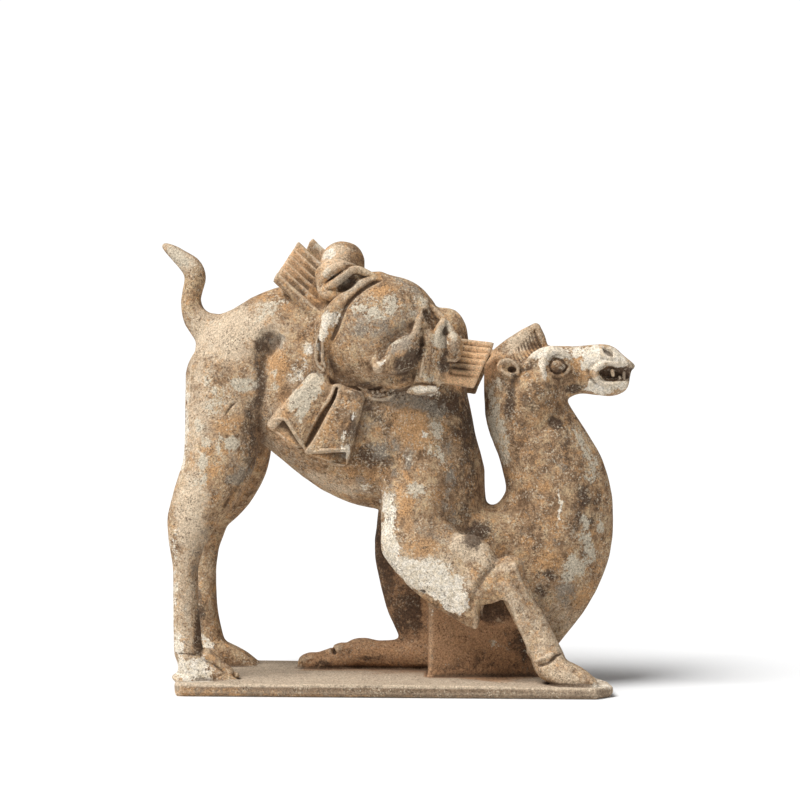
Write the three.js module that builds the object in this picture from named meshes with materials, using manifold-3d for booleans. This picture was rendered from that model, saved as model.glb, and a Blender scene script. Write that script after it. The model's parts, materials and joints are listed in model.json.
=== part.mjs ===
// A pack camel rising from its knees, on a thin slab: one piece of earthenware.
// The body, load and slab were luted together as soft clay and fired as one, so they are one solid.
// Millimetres. +X is the way the camel faces, +Y its left side, +Z up. The underside is at z = 0.
import * as THREE from 'three';
import { mergeVertices } from 'three/addons/utils/BufferGeometryUtils.js';
import { edgeTable, triTable } from 'three/addons/objects/MarchingCubes.js';
import Module from 'manifold-3d';

const wasm = await Module();
wasm.setup();

// Driving dimensions
const SLAB = { rear: -152.5, front: 151.5, half: 65, radius: 7, thick: 9.5, thin: 7.6 };
const SLAB_END = [[139, -65], [151.5, -51], [149.5, -26], [141, -9], [127, 60], [121, 65]];
const HIND = { x: -147, y: 38, hockZ: 122 };
const NECK = { half: 27, keel: 6 };
const HEAD = { half: 15, x: 108, z: 229 };
const LOAD = { x: -11, z: 254, y: 31, long: 42, deep: 28, high: 39 };
const BOARD = { thick: 6, rib: 1.8, ribs: 6 };
const CREST = { ridges: 7, pitch: 2.5, half: 3.9, radius: 0.95 };
const SINK = 4;

// The sampling grid that the soft clay forms are worked out on
const CELL = 2;
const GRID_LOW = [-180, -70, 0];
const GRID_COUNT = [179, 71, 165];
const FACE_TARGET = 7900;
const HEAD_CARE = 4;

const CLAY = new THREE.MeshStandardMaterial({ color: 0xb08d68, roughness: 0.92, metalness: 0 });

// Helpers for the clay forms. A form is a list of parts, each a distance function and the box it fills.
const mix = (a, b, t) => a + (b - a) * t;

function smoothMin(a, b, soft) {
  const overlap = Math.max(soft - Math.abs(a - b), 0) / soft;
  return Math.min(a, b) - overlap * overlap * soft / 4;
}

const smoothMax = (a, b, soft) => -smoothMin(-a, -b, soft);

// A station is [x, y, z, radius seen from the side, half-width across]. A missing one repeats the radius.
function fullStation([x, y, z, radius, across = radius]) {
  return [x, y, z, radius, across];
}

function splineThrough(stations, steps) {
  const full = stations.map(fullStation);
  const points = [];
  for (let i = 0; i < full.length - 1; i++) {
    const [before, from, to, after] = [full[Math.max(i - 1, 0)], full[i], full[i + 1],
      full[Math.min(i + 2, full.length - 1)]];
    for (let s = 0; s < steps; s++) {
      const t = s / steps;
      points.push(from.map((value, k) => 0.5 * (2 * value + (to[k] - before[k]) * t
        + (2 * before[k] - 5 * value + 4 * to[k] - after[k]) * t * t
        + (3 * value - before[k] - 3 * to[k] + after[k]) * t * t * t)));
    }
  }
  points.push(full[full.length - 1]);
  return points;
}

// A round or flattened cone from one spline point to the next
function cone(a, b) {
  const [ux, uy, uz] = [b[0] - a[0], b[1] - a[1], b[2] - a[2]];
  const square = ux * ux + uy * uy + uz * uz;
  const distance = (x, y, z) => {
    const along = ((x - a[0]) * ux + (y - a[1]) * uy + (z - a[2]) * uz) / square;
    const t = Math.min(Math.max(along, 0), 1);
    const radius = mix(a[3], b[3], t);
    const flat = mix(a[4], b[4], t) / radius;
    const qx = x - a[0] - ux * t;
    const qy = (y - a[1] - uy * t) / flat;
    const qz = z - a[2] - uz * t;
    const length = Math.sqrt(qx * qx + qy * qy + qz * qz) + 1e-6;
    const steep = Math.sqrt(qx * qx + qy * qy / (flat * flat) + qz * qz) + 1e-6;
    return (length - radius) * length / steep;
  };
  const width = [3, 4, 3];
  return {
    distance,
    low: [0, 1, 2].map((k) => Math.min(a[k] - a[width[k]], b[k] - b[width[k]])),
    high: [0, 1, 2].map((k) => Math.max(a[k] + a[width[k]], b[k] + b[width[k]])),
  };
}

// A limb that runs smoothly through its stations
function limb(stations, steps = 4) {
  const path = splineThrough(stations, steps);
  return path.slice(1).map((point, i) => cone(path[i], point));
}

// An egg-shaped lump. Its long axis is turned by tilt degrees in the side view.
function lump([x0, y0, z0], [rx, ry, rz], tilt = 0) {
  const cos = Math.cos(THREE.MathUtils.degToRad(tilt));
  const sin = Math.sin(THREE.MathUtils.degToRad(tilt));
  const distance = (x, y, z) => {
    const dx = (x - x0) * cos + (z - z0) * sin;
    const dy = y - y0;
    const dz = (z - z0) * cos - (x - x0) * sin;
    const scaled = Math.hypot(dx / rx, dy / ry, dz / rz);
    const steep = Math.hypot(dx / rx ** 2, dy / ry ** 2, dz / rz ** 2) + 1e-9;
    return scaled * (scaled - 1) / steep;
  };
  const reach = Math.max(rx, rz);
  return [{ distance, low: [x0 - reach, y0 - ry, z0 - reach], high: [x0 + reach, y0 + ry, z0 + reach] }];
}

// How far a point is outside a box whose edges are rounded, from its overhang on each side
function roundedGap(dx, dy, dz, round) {
  const [x, y, z] = [dx + round, dy + round, dz + round];
  return Math.hypot(Math.max(x, 0), Math.max(y, 0), Math.max(z, 0)) + Math.min(Math.max(x, y, z), 0) - round;
}

// A bar with rounded edges that runs from one point to another in the side view and may taper
function bar(from, to, startHalf, endHalf, thickHalf, round) {
  const length = Math.hypot(to[0] - from[0], to[2] - from[2]);
  const ux = (to[0] - from[0]) / length;
  const uz = (to[2] - from[2]) / length;
  const distance = (x, y, z) => {
    const along = (x - from[0]) * ux + (z - from[2]) * uz;
    const across = (z - from[2]) * ux - (x - from[0]) * uz;
    const t = Math.min(Math.max(along / length, 0), 1);
    return roundedGap(
      Math.abs(along - length / 2) - length / 2,
      Math.abs(y - mix(from[1], to[1], t)) - thickHalf,
      Math.abs(across) - mix(startHalf, endHalf, t),
      round,
    );
  };
  const wide = Math.max(startHalf, endHalf);
  const pad = [wide, thickHalf, wide];
  return [{
    distance,
    low: [0, 1, 2].map((k) => Math.min(from[k], to[k]) - pad[k]),
    high: [0, 1, 2].map((k) => Math.max(from[k], to[k]) + pad[k]),
  }];
}

// The same form on the other side of the body
function mirrored(form) {
  return form.map(({ distance, low, high }) => ({
    distance: (x, y, z) => distance(x, -y, z),
    low: [low[0], -high[1], low[2]],
    high: [high[0], -low[1], high[2]],
  }));
}

const FAR = 1e3;
const CELLS = GRID_COUNT[0] * GRID_COUNT[1] * GRID_COUNT[2];
const field = new Float32Array(CELLS).fill(FAR);
const formGap = new Float32Array(CELLS).fill(FAR);
const cellIndex = (i, j, k) => i + GRID_COUNT[0] * (j + GRID_COUNT[1] * k);
const gridPlace = (i, axis) => GRID_LOW[axis] + CELL * i;

// Visit the cells of a box and of a margin around it
function forCells({ low, high }, pad, use) {
  const first = low.map((v, a) => Math.max(Math.floor((v - pad - GRID_LOW[a]) / CELL), 0));
  const last = high.map((v, a) => Math.min(Math.ceil((v + pad - GRID_LOW[a]) / CELL), GRID_COUNT[a] - 1));
  for (let k = first[2]; k <= last[2]; k++) {
    for (let j = first[1]; j <= last[1]; j++) {
      for (let i = first[0]; i <= last[0]; i++) {
        use(cellIndex(i, j, k), gridPlace(i, 0), gridPlace(j, 1), gridPlace(k, 2));
      }
    }
  }
}

function sculpt(form, soft, change) {
  const pad = soft + 2 * CELL;
  for (const part of form) {
    forCells(part, pad, (at, x, y, z) => {
      formGap[at] = Math.min(formGap[at], part.distance(x, y, z));
    });
  }
  for (const part of form) {
    forCells(part, pad, (at) => {
      if (formGap[at] < FAR) field[at] = change(field[at], formGap[at]);
      formGap[at] = FAR;
    });
  }
}

const add = (form, soft) => sculpt(form, soft, (old, gap) => smoothMin(old, gap, soft));
const carve = (form, soft) => sculpt(form, soft, (old, gap) => smoothMax(old, -gap, soft));

function addPair(form, soft) {
  add(form, soft);
  add(mirrored(form), soft);
}

function carvePair(form, soft) {
  carve(form, soft);
  carve(mirrored(form), soft);
}

function body() {
  // Ribs and belly, from the flank to behind the shoulder
  add(limb([
    [-104, 0, 226, 34, 31],
    [-80, 0, 224, 52, 38],
    [-62, 0, 224, 62, 41],
    [-26, 0, 200, 66, 42],
    [-12, 0, 190, 63, 42],
  ]), 4);
  // Croup and back, from the tail to the withers
  add(limb([
    [-117, 0, 238, 30, 28],
    [-101, 0, 238, 40, 33],
    [-86, 0, 247, 40, 35],
    [-66, 0, 244, 44, 35],
    [-20, 0, 234, 44, 34],
    [12, 0, 216, 34, 32],
    [22, 0, 209, 25, 28],
  ]), 4);
  // Shoulders and the deep chest between the elbows
  add(limb([
    [17, 0, 206, 30, 33],
    [21, 0, 188, 31.5, 35],
    [24, 0, 170, 33.5, 36],
    [26, 0, 152, 36.5, 36],
    [27, 0, 132, 36, 36],
    [31, 0, 108, 37, 33],
    [66, 0, 107, 20.5, 28],
  ]), 8);
  // Humps, whose tips show between the bags
  add(limb([[-44, 0, 270, 24, 24], [-42, 0, 288, 16, 16], [-40, 0, 304, 14.6, 14]]), 6);
  add(limb([[33, 0, 232, 20, 20], [37, 0, 246, 13, 13], [38.5, 0, 258.5, 12, 12]]), 6);
}

function tail() {
  add(limb([
    [-136, 0, 255.5, 11, 10],
    [-144.4, 0, 264.5, 10, 8],
    [-149.3, 0, 274, 7.4, 7],
    [-149.5, 0, 281, 6.6, 6.5],
    [-147, 0, 292, 6.9, 6.5],
    [-148.8, 0, 300.5, 6.8, 6.5],
    [-155.5, 0, 306.5, 5.6, 5.5],
    [-163, 0, 312.5, 4, 4],
    [-168.8, 0, 316.6, 1.9, 2.2],
  ]), 6);
}

// One hind leg from the hip to the foot. Side is -1 for the near leg and 1 for the far one, which
// is fuller by some millimetres and reaches farther forward.
function hindLeg(side, fuller) {
  const x = HIND.x;
  const foot = side * HIND.y;
  const half = fuller / 2;
  add(limb([
    [-125, side * 14, 222, 27, 20],
    [-124.5 + half, side * 18, 200, 27 + half, 21],
    [-124.5 + half, side * 22, 181, 27 + half, 21],
    [-125 + half, side * 25, 167, 26 + half, 19],
    [-128 + half, side * 28, 155, 24.5 + half, 17],
    [-132.5 + half, side * 31, 145, 23 + half, 15],
    [-138.5 + half, side * 34, 133, 20.5 + half / 2, 14],
    [-143.6, side * 36, HIND.hockZ, 17.8, 12.5],
    [x + 0.8 + half, foot, 111, 14.6, 11],
    [x - 0.4 + half, foot, 102, 12, 10],
    [x - 1 + half, foot, 86, 9.3, 9],
    [x - 1 + half, foot, 62, 9.1, 9],
    [x + half, foot, 45, 9.6, 9.5],
    [x + 0.6 + fuller, foot, 31, 10.2, 10.5],
    [x + 3 + fuller, foot, 20, 11, 12],
  ]), 5);
  for (const splay of [-1, 1]) {
    add(limb([
      [x + 4 + fuller, foot + splay * 4, 17, 9 + half, 9],
      [x + 14 + fuller * 1.5, foot + splay * 6, 14, 8 + half, 7.5],
      [x + 25 + fuller * 1.5, foot + splay * 7, 10.5, 5.5 + half, 6.5],
      [x + 34 + fuller, foot + splay * 8, 8.5, 3 + half / 2, 5],
    ]), 2);
  }
}

function neck() {
  add(limb([
    [90, 0, 213, 26, 20],
    [92, 0, 200, 27.5, 22],
    [97, 0, 184, 29, 23],
    [105, 0, 166, 32, 25],
    [111, 0, 148, 34, 26],
    [112.5, 0, 130, 36, NECK.half],
    [108, 0, 112, 40.5, NECK.half + 1],
    [99, 0, 92, 43.5, NECK.half + 1],
    [84, 0, 78, 41, 27],
    [60, 0, 86, 40, 30],
  ]), 8);
  // The keel of long hair down the front of the throat
  const { keel } = NECK;
  add(limb([
    [115.5, 0, 200, 6, keel],
    [129, 0, 179.5, 6.5, keel],
    [139.2, 0, 162, 7, keel],
    [145.4, 0, 142, 7.5, keel + 1],
    [147.2, 0, 121, 7.5, keel + 1],
    [145.6, 0, 100, 7.5, keel + 1],
    [140, 0, 82, 7.5, keel + 1],
    [131, 0, 63, 7.5, keel + 1],
    [117, 0, 44, 7.5, keel + 1],
    [104, 0, 28, 7.5, keel + 1],
    [95, 0, 13, 7.5, keel + 1],
  ]), 8);
  // The mane, a raised band down the back of the neck
  add(limb([
    [69.5, 0, 228, 8, 9],
    [68.4, 0, 206, 7, 10],
    [70.5, 0, 190, 7, 10],
    [74.5, 0, 174, 6, 8],
  ]), 3);
}

function head() {
  const { x, z, half } = HEAD;
  add(limb([
    [x - 24, 0, z - 2, 15, 13],
    [x, 0, z - 1.5, 16, half],
    [x + 19, 0, z + 1, 13.6, 12],
    [x + 32, 0, z + 5, 10.7, 10.5],
    [x + 41, 0, z + 7.2, 8.4, 10.5],
    [x + 48, 0, z + 4.6, 6, 9.5],
    [x + 55, 0, z + 1.2, 3.8, 7],
    [x + 59.8, 0, z + 0.4, 1.5, 3.5],
  ]), 5);
  // Lower jaw, the corner of the mouth and the tongue inside it
  add(limb([
    [x + 6, 0, z - 13, 11, 12],
    [x + 22, 0, z - 10.5, 8, 10],
    [x + 36, 0, z - 13, 6.6, 8.5],
    [x + 45, 0, z - 14.4, 5.8, 8],
    [x + 52, 0, z - 13, 4.4, 6.5],
    [x + 55, 0, z - 9, 2.4, 5],
  ]), 3);
  add(lump([x + 29, 0, z - 5], [10, 11, 10]), 4);
  add(limb([[x + 34, 0, z - 5, 7, 5], [x + 54, 0, z - 5, 6, 4.5]]), 1);
  // Heavy cheek that hangs over the throat
  addPair(lump([x - 9, -11, z - 19], [15, 13, 24], -12), 6);
  face();
  crest();
}

// Eyes, nostrils, mouth and ears
function face() {
  const { x, z, half } = HEAD;
  // The open mouth is cut in from both sides and closes on the tongue between them
  carvePair(limb([
    [x + 40, -12, z - 4.6, 3.8, 6.5],
    [x + 48, -11, z - 5.2, 3.4, 6.5],
    [x + 58, -10, z - 5.2, 3, 6.5],
  ]), 1);
  addPair(lump([x + 45.5, -5.5, z - 4.5], [1.6, 1.8, 3.4], -20), 0.5);
  addPair(lump([x + 55, -3, z - 5], [1.8, 3, 3.6]), 0.5);
  carvePair(limb([
    [x + 39.5, -11.5, z + 8.5, 1.8],
    [x + 42.5, -11.5, z + 9, 2.6],
    [x + 43, -11, z + 12, 1.6],
  ]), 1.2);
  // Lids round a sunken ring, with the ball of the eye in the middle and a brow ridge above
  addPair(lump([x + 4.5, -half + 1.5, z + 1.5], [8.4, 4, 8.4]), 2);
  carvePair(lump([x + 4.5, -half - 2.6, z + 1.5], [5.4, 3.6, 6.2]), 0.5);
  addPair(lump([x + 4.5, -half + 1, z + 1.5], [3.2, 3.6, 4]), 0.3);
  addPair(limb([
    [x - 12, -half + 1, z + 6, 2],
    [x - 2, -half, z + 9.5, 2.4],
    [x + 7, -half + 1.5, z + 10, 2.4],
    [x + 14, -half + 3, z + 5, 1.8],
  ]), 3);
  addPair(limb([
    [x - 3, -half - 0.5, z + 5, 1.8],
    [x - 5, -half - 1, z - 2, 2.2],
    [x - 8, -half, z - 8, 1.6],
  ]), 3);
  // Small cupped ears that lie back against the neck
  addPair(lump([x - 28.5, -17, z - 1], [8, 5, 6.4], -8), 2);
  carvePair(lump([x - 27.5, -22.5, z - 1.5], [5.4, 4.6, 4], -8), 0.5);
}

// The comb of hair on top of the head, a thin fin
function crest() {
  const { x, z } = HEAD;
  add(limb([
    [x - 34, 0, z + 8, 6.5, 5],
    [x - 25, 0, z + 14, 7.5, 4.4],
    [x - 16, 0, z + 18, 8, 4.2],
    [x - 10, 0, z + 19, 7.5, 4.2],
  ]), 3);
  add(limb([[x - 32, 0, z + 12.5, 3.6, 4], [x - 20, 0, z + 22, 3.6, 4], [x - 9, 0, z + 28.6, 3.2, 4]]), 1.5);
  add(limb([[x - 9, 0, z + 28.4, 3.2, 4], [x - 7, 0, z + 22, 3.6, 4], [x - 5, 0, z + 14, 4, 4]]), 1.5);
}

// The near foreleg is set forward: forearm with its fringe of hair, bent knee, shin and flat foot
function nearForeleg() {
  add(limb([
    [16, -24, 156, 24, 15],
    [13, -31, 132, 23.5, 16],
    [13, -36, 112, 22, 13],
    [28, -38, 95, 24, 12],
    [44, -39, 83, 23, 11],
    [60, -39, 79, 17, 11],
    [74, -39, 79, 14.5, 12],
  ]), 7);
  // The fringe hangs from the forearm to a point in front of the support
  add(limb([
    [8, -38, 104, 17, 9],
    [18, -40, 86, 13, 7],
    [32, -41, 73, 12, 6],
    [46, -42, 61, 9, 5],
    [54, -42, 52, 5, 4],
  ]), 5);
  add(limb([
    [52, -46, 99, 5],
    [62, -47, 92, 5],
    [66, -47, 86, 5],
    [58, -46, 74, 5],
    [54, -46, 60, 4],
  ]), 4);
  carve(limb([[50, -50, 110, 3], [62, -50, 101, 3.5], [71, -50, 94, 3]]), 3);
  carve(limb([[72, -53, 86, 2.4], [65, -52, 77, 2.8], [61, -50, 66, 2.8]]), 3);
  add(limb([
    [66, -40, 79, 14, 12],
    [79, -41, 74, 13.5, 12],
    [86, -41, 60, 11.5, 11],
    [91, -41, 46, 9.8, 10],
    [100, -42, 34, 9.6, 10],
    [107, -43, 25, 11, 10.5],
  ]), 4);
  // Fold of skin above the foot
  add(limb([[98, -49, 24, 2], [103, -52, 28, 2.4], [109, -51, 32, 2.2], [112, -47, 33, 2]]), 2);
  for (const splay of [-1, 1]) {
    add(limb([
      [107, -43 + splay * 3, 21, 10, 9],
      [117, -45 + splay * 5, 15.5, 8.6, 8],
      [127, -46 + splay * 6, 12.5, 7, 7],
      [137, -47 + splay * 7, 9, 3.6, 5],
    ]), 2);
  }
}

// The far foreleg kneels: forearm down to the knee, shin and foot lying back along the slab
function farForeleg() {
  add(limb([
    [10, 18, 150, 26, 18],
    [5, 24, 128, 21, 15],
    [0, 28, 101, 19, 14],
    [2, 28, 84, 19.5, 13],
    [5.5, 29, 62, 18, 12],
    [9.5, 29, 48, 16.5, 12],
    [13, 29, 36, 13.5, 11],
    [20, 28, 22, 12, 11],
  ]), 8);
  add(limb([
    [20, 28, 20, 11.5, 10],
    [0, 27, 19, 10.7, 9.5],
    [-18, 27, 19, 10.3, 9],
    [-29, 27, 20.5, 11, 9.5],
    [-38, 27, 18, 9.5, 8.5],
    [-50, 26, 15.5, 8.3, 8.5],
    [-62, 26, 12.5, 7, 8.5],
    [-71, 25, 10, 4.8, 6.5],
  ]), 4);
  carve(limb([[-41, 14, 22, 1.8], [-38, 20, 30, 1.8], [-38, 34, 30, 1.8]]), 2);
}

// The clay support under the chest, wide behind and running out to the keel in front
function support() {
  const rear = 22;
  const front = 104;
  const top = 74;
  const edge = 2;
  const distance = (x, y, z) => {
    const half = mix(19, 6, (x - rear) / (front - rear));
    const reach = mix(front - 4, front + 20, (z - SLAB.thin) / 55);
    return roundedGap(Math.max(rear - x, x - reach), Math.abs(y) - half, Math.max(z - top, SINK - z), edge);
  };
  add([{ distance, low: [rear, -20, SINK], high: [front + 34, 20, top] }], 3);
}

// Hollows between the thigh, the ribs and the belly
function flank() {
  carvePair(limb([
    [-89, -40, 250, 6, 8],
    [-92, -41, 241, 9, 13],
    [-94, -43, 225, 8, 12],
    [-95, -44, 206, 8, 12],
    [-98, -45, 188, 8, 12],
  ]), 5);
}

// The load: bags on both sides of the humps, with what is strapped to them
function load() {
  const { x, y, z, long, deep, high } = LOAD;
  addPair(lump([x, -y, z], [long, deep, high], 8), 6);
  addPair(lump([x - 16, -y + 4, z - 2], [long - 8, deep - 4, high - 8], 8), 3);
  // Cloth between the bags, over the back
  add(limb([[-26, 0, 272, 20, 32], [-6, 0, 270, 22, 32], [14, 0, 258, 20, 28]]), 8);
  rearKnot();
  frontKnot();
  // The band that binds the bag's rear and lower edges
  addPair(limb([
    [-11, -36, 293, 5, 3],
    [-29, -45, 279, 6, 4],
    [-42, -48, 265, 6.5, 4],
    [-50, -47, 249, 6, 4],
    [-52, -45, 235, 5.5, 4],
    [-48, -44, 222, 5, 4],
  ]), 2);
  carvePair(limb([
    [-14, -43, 289, 1.3],
    [-29, -50.5, 272, 1.8],
    [-39, -54, 256, 2],
    [-42, -53, 240, 1.8],
  ]), 1.5);
  addPair(limb([
    [-38, -48, 214, 2.6],
    [-24, -54, 209, 2.8],
    [-6, -55, 207, 2.8],
    [8, -52, 210, 2.8],
    [16, -47, 218, 2.8],
  ]), 1.5);
  // A flask that hangs across the face of the bag
  addPair(limb([
    [17, -48, 256, 3],
    [11, -54, 249, 4.6],
    [3, -57, 241, 6.2],
    [-5, -59, 235, 5.2],
    [-12.5, -58, 229.5, 4],
  ]), 1);
  addPair(lump([3, -54, 230], [16, 8, 7], 20), 3);
  rolls();
}

// The neck of the bag, tied behind the rear hump in two lobes and a strand
function rearKnot() {
  addPair(lump([-48, -32, 292], [10.5, 9, 6.5], 32), 1.5);
  carvePair(limb([[-55, -40, 289, 1.6], [-47, -42, 291, 2.2], [-40, -41, 297, 1.4]]), 1);
  addPair(limb([
    [-55, -28, 294, 4],
    [-49, -31, 301, 4],
    [-38, -33, 302, 4],
    [-24, -34, 294, 4.5],
    [-14, -34, 290, 4],
  ]), 1.5);
  addPair(lump([-45, -35, 281], [11, 8, 5.5], 18), 2);
  addPair(limb([[-26, -38, 294, 4, 4], [-36, -42, 287, 4.5, 4], [-44, -42, 281, 4, 4]]), 1.5);
}

// Twisted cloth that hangs beside the front hump
function frontKnot() {
  addPair(limb([[10, -38, 284, 4], [18, -44, 272, 4.5], [22, -50, 262, 4], [18, -53, 252, 3.5]]), 1.5);
  addPair(limb([[23, -33, 266, 6], [31, -38, 257, 6.5], [38, -39, 249, 5.5]]), 1.5);
  addPair(lump([37, -41, 243], [7, 8, 10], -20), 1.5);
  addPair(lump([29, -46, 246], [7, 8, 12], 10), 1.5);
  addPair(limb([[24, -48, 238, 7], [22, -49, 226, 6.5], [20, -48, 215, 5.5]]), 1.5);
  addPair(lump([33, -42, 230], [7, 8, 8], 0), 1.5);
  addPair(lump([19, -50, 212], [8.5, 4.5, 4.2]), 1);
}

// Two rolls that hang below the bag, open at their lower ends
function rolls() {
  addPair(bar([-50, -39, 221], [-79, -39, 178.5], 9, 17, 9.5, 9.3), 1);
  addPair(bar([-31.5, -42, 214], [-50.5, -41, 163], 12, 18, 8.5, 8.3), 1);
  carvePair(bar([-76, -43, 184], [-83, -43, 173], 12, 14, 3.6, 3.4), 1);
  carvePair(bar([-49, -45, 168], [-52, -45, 157], 13, 15, 3.2, 3), 1);
}

// The skin of the clay forms, as vertices and triangles on the sampling grid
function skin() {
  const [nx, ny, nz] = GRID_COUNT;
  const steps = [1, nx, nx * ny];
  const corners = [[0, 0, 0], [1, 0, 0], [1, 1, 0], [0, 1, 0], [0, 0, 1], [1, 0, 1], [1, 1, 1], [0, 1, 1]];
  const offsets = corners.map((corner) => cellIndex(...corner));
  const edges = [
    [0, 1], [1, 2], [3, 2], [0, 3],
    [4, 5], [5, 6], [7, 6], [4, 7],
    [0, 4], [1, 5], [2, 6], [3, 7],
  ];
  const vertices = [];
  const faces = [];
  const known = new Map();
  const vertexOn = (i, j, k, edge) => {
    const [from, to] = edge.map((c) => corners[c]);
    const axis = from.findIndex((v, n) => v !== to[n]);
    const start = cellIndex(i + from[0], j + from[1], k + from[2]);
    const key = start * 3 + axis;
    if (!known.has(key)) {
      const [a, b] = [field[start], field[start + steps[axis]]];
      const place = [i, j, k].map((n, a) => gridPlace(n + from[a], a));
      place[axis] += CELL * THREE.MathUtils.clamp(a / (a - b), 0.04, 0.96);
      known.set(key, vertices.length);
      vertices.push(place);
    }
    return known.get(key);
  };
  for (let k = 0; k < nz - 1; k++) {
    for (let j = 0; j < ny - 1; j++) {
      for (let i = 0; i < nx - 1; i++) {
        const start = cellIndex(i, j, k);
        let inside = 0;
        for (let bit = 0; bit < 8; bit++) {
          if (field[start + offsets[bit]] < 0) inside |= 1 << bit;
        }
        if (edgeTable[inside] === 0) continue;
        for (let n = inside * 16; triTable[n] !== -1; n += 3) {
          faces.push([2, 1, 0].map((m) => vertexOn(i, j, k, edges[triTable[n + m]])));
        }
      }
    }
  }
  return { vertices, faces };
}

// A small binary heap of [cost, ...] entries, cheapest first
class Heap {
  items = [];

  push(item) {
    const { items } = this;
    let at = items.push(item) - 1;
    while (at > 0 && items[at][0] < items[(at - 1) >> 1][0]) {
      const parent = (at - 1) >> 1;
      [items[at], items[parent]] = [items[parent], items[at]];
      at = parent;
    }
  }

  pop() {
    const { items } = this;
    const top = items[0];
    const last = items.pop();
    if (items.length === 0) return top;
    items[0] = last;
    for (let at = 0; ;) {
      const [left, right] = [2 * at + 1, 2 * at + 2];
      let least = at;
      if (left < items.length && items[left][0] < items[least][0]) least = left;
      if (right < items.length && items[right][0] < items[least][0]) least = right;
      if (least === at) return top;
      [items[at], items[least]] = [items[least], items[at]];
      at = least;
    }
  }
}

const minus = (a, b) => [a[0] - b[0], a[1] - b[1], a[2] - b[2]];
const dot = (a, b) => a[0] * b[0] + a[1] * b[1] + a[2] * b[2];
const cross = (a, b) => [a[1] * b[2] - a[2] * b[1], a[2] * b[0] - a[0] * b[2], a[0] * b[1] - a[1] * b[0]];

// The ten sums that give the squared distance of a point to the plane of a face
function planeSums(a, b, c) {
  const normal = cross(minus(b, a), minus(c, a));
  const size = Math.hypot(...normal);
  if (size < 1e-12) return new Float64Array(10);
  const [nx, ny, nz] = normal.map((v) => v / size);
  const d = -dot([nx, ny, nz], a);
  const weight = size * (a[0] > HEAD.x - 40 && a[2] > HEAD.z - 30 ? HEAD_CARE : 1);
  return Float64Array.of(nx * nx, nx * ny, nx * nz, nx * d, ny * ny, ny * nz, ny * d, nz * nz, nz * d, d * d)
    .map((v) => v * weight);
}

const planeError = (q, [x, y, z]) => q[0] * x * x + 2 * q[1] * x * y + 2 * q[2] * x * z + 2 * q[3] * x
  + q[4] * y * y + 2 * q[5] * y * z + 2 * q[6] * y + q[7] * z * z + 2 * q[8] * z + q[9];

// The point with the least error, or nothing where the planes don't fix one
function bestPoint(q) {
  const [a, b, c, d, e, f, g, h, k] = q;
  const rows = new THREE.Matrix3(a, b, c, b, e, f, c, f, h);
  const size = (a + e + h) / 3;
  if (Math.abs(rows.determinant()) < 1e-3 * size ** 3) return null;
  return new THREE.Vector3(-d, -g, -k).applyMatrix3(rows.invert()).toArray();
}

// Fewer triangles for the same skin: the edges whose loss bends it least go first
function thinOut({ vertices, faces }, target) {
  const sums = vertices.map(() => new Float64Array(10));
  const around = vertices.map(() => new Set());
  const version = new Uint32Array(vertices.length);
  faces.forEach((face, n) => {
    const plane = planeSums(...face.map((v) => vertices[v]));
    for (const v of face) {
      plane.forEach((value, i) => { sums[v][i] += value; });
      around[v].add(n);
    }
  });
  const neighbours = (v) => {
    const found = new Set();
    for (const n of around[v]) faces[n].forEach((w) => found.add(w));
    found.delete(v);
    return found;
  };
  const heap = new Heap();
  const propose = (v, w) => {
    const total = sums[v].map((value, i) => value + sums[w][i]);
    const middle = vertices[v].map((value, i) => (value + vertices[w][i]) / 2);
    const best = bestPoint(total);
    const reach = Math.hypot(...minus(vertices[v], vertices[w]));
    const place = best && Math.hypot(...minus(best, middle)) < 2 * reach ? best : middle;
    heap.push([planeError(total, place) + 1e-4 * reach * reach, v, w, version[v], version[w], place]);
  };
  vertices.forEach((_, v) => neighbours(v).forEach((w) => { if (v < w) propose(v, w); }));
  const folds = (v, w, place) => [...around[v]].some((n) => {
    if (faces[n].includes(w)) return false;
    const old = faces[n].map((u) => vertices[u]);
    const moved = faces[n].map((u) => (u === v ? place : vertices[u]));
    const before = cross(minus(old[1], old[0]), minus(old[2], old[0]));
    const after = cross(minus(moved[1], moved[0]), minus(moved[2], moved[0]));
    return dot(before, after) < 0.3 * Math.hypot(...before) * Math.hypot(...after);
  });
  let count = faces.length;
  while (count > target && heap.items.length > 0) {
    const [, v, w, versionV, versionW, place] = heap.pop();
    if (version[v] !== versionV || version[w] !== versionW) continue;
    const nextToW = neighbours(w);
    const shared = [...neighbours(v)].filter((u) => nextToW.has(u));
    if (shared.length !== 2 || folds(v, w, place) || folds(w, v, place)) continue;
    vertices[v] = place;
    sums[w].forEach((value, i) => { sums[v][i] += value; });
    for (const n of around[w]) {
      if (faces[n].includes(v)) {
        faces[n].forEach((u) => around[u].delete(n));
        faces[n] = null;
        count--;
      } else {
        faces[n] = faces[n].map((u) => (u === w ? v : u));
        around[v].add(n);
      }
    }
    around[w] = new Set();
    version[w]++;
    version[v]++;
    neighbours(v).forEach((u) => propose(Math.min(u, v), Math.max(u, v)));
  }
  return { vertices, faces: faces.filter(Boolean) };
}

function solidFromMesh({ vertices, faces }) {
  return new wasm.Manifold(new wasm.Mesh({
    numProp: 3,
    vertProperties: new Float32Array(vertices.flat()),
    triVerts: new Uint32Array(faces.flat()),
  }));
}

function solidFromGeometry(geometry) {
  const bare = geometry.clone();
  bare.deleteAttribute('normal');
  bare.deleteAttribute('uv');
  const merged = mergeVertices(bare, 1e-4);
  return new wasm.Manifold(new wasm.Mesh({
    numProp: 3,
    vertProperties: Float32Array.from(merged.attributes.position.array),
    triVerts: Uint32Array.from(merged.index.array),
  }));
}

function extruded(shape, depth, curveSegments) {
  return new THREE.ExtrudeGeometry(shape, { depth, bevelEnabled: false, curveSegments });
}

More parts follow.
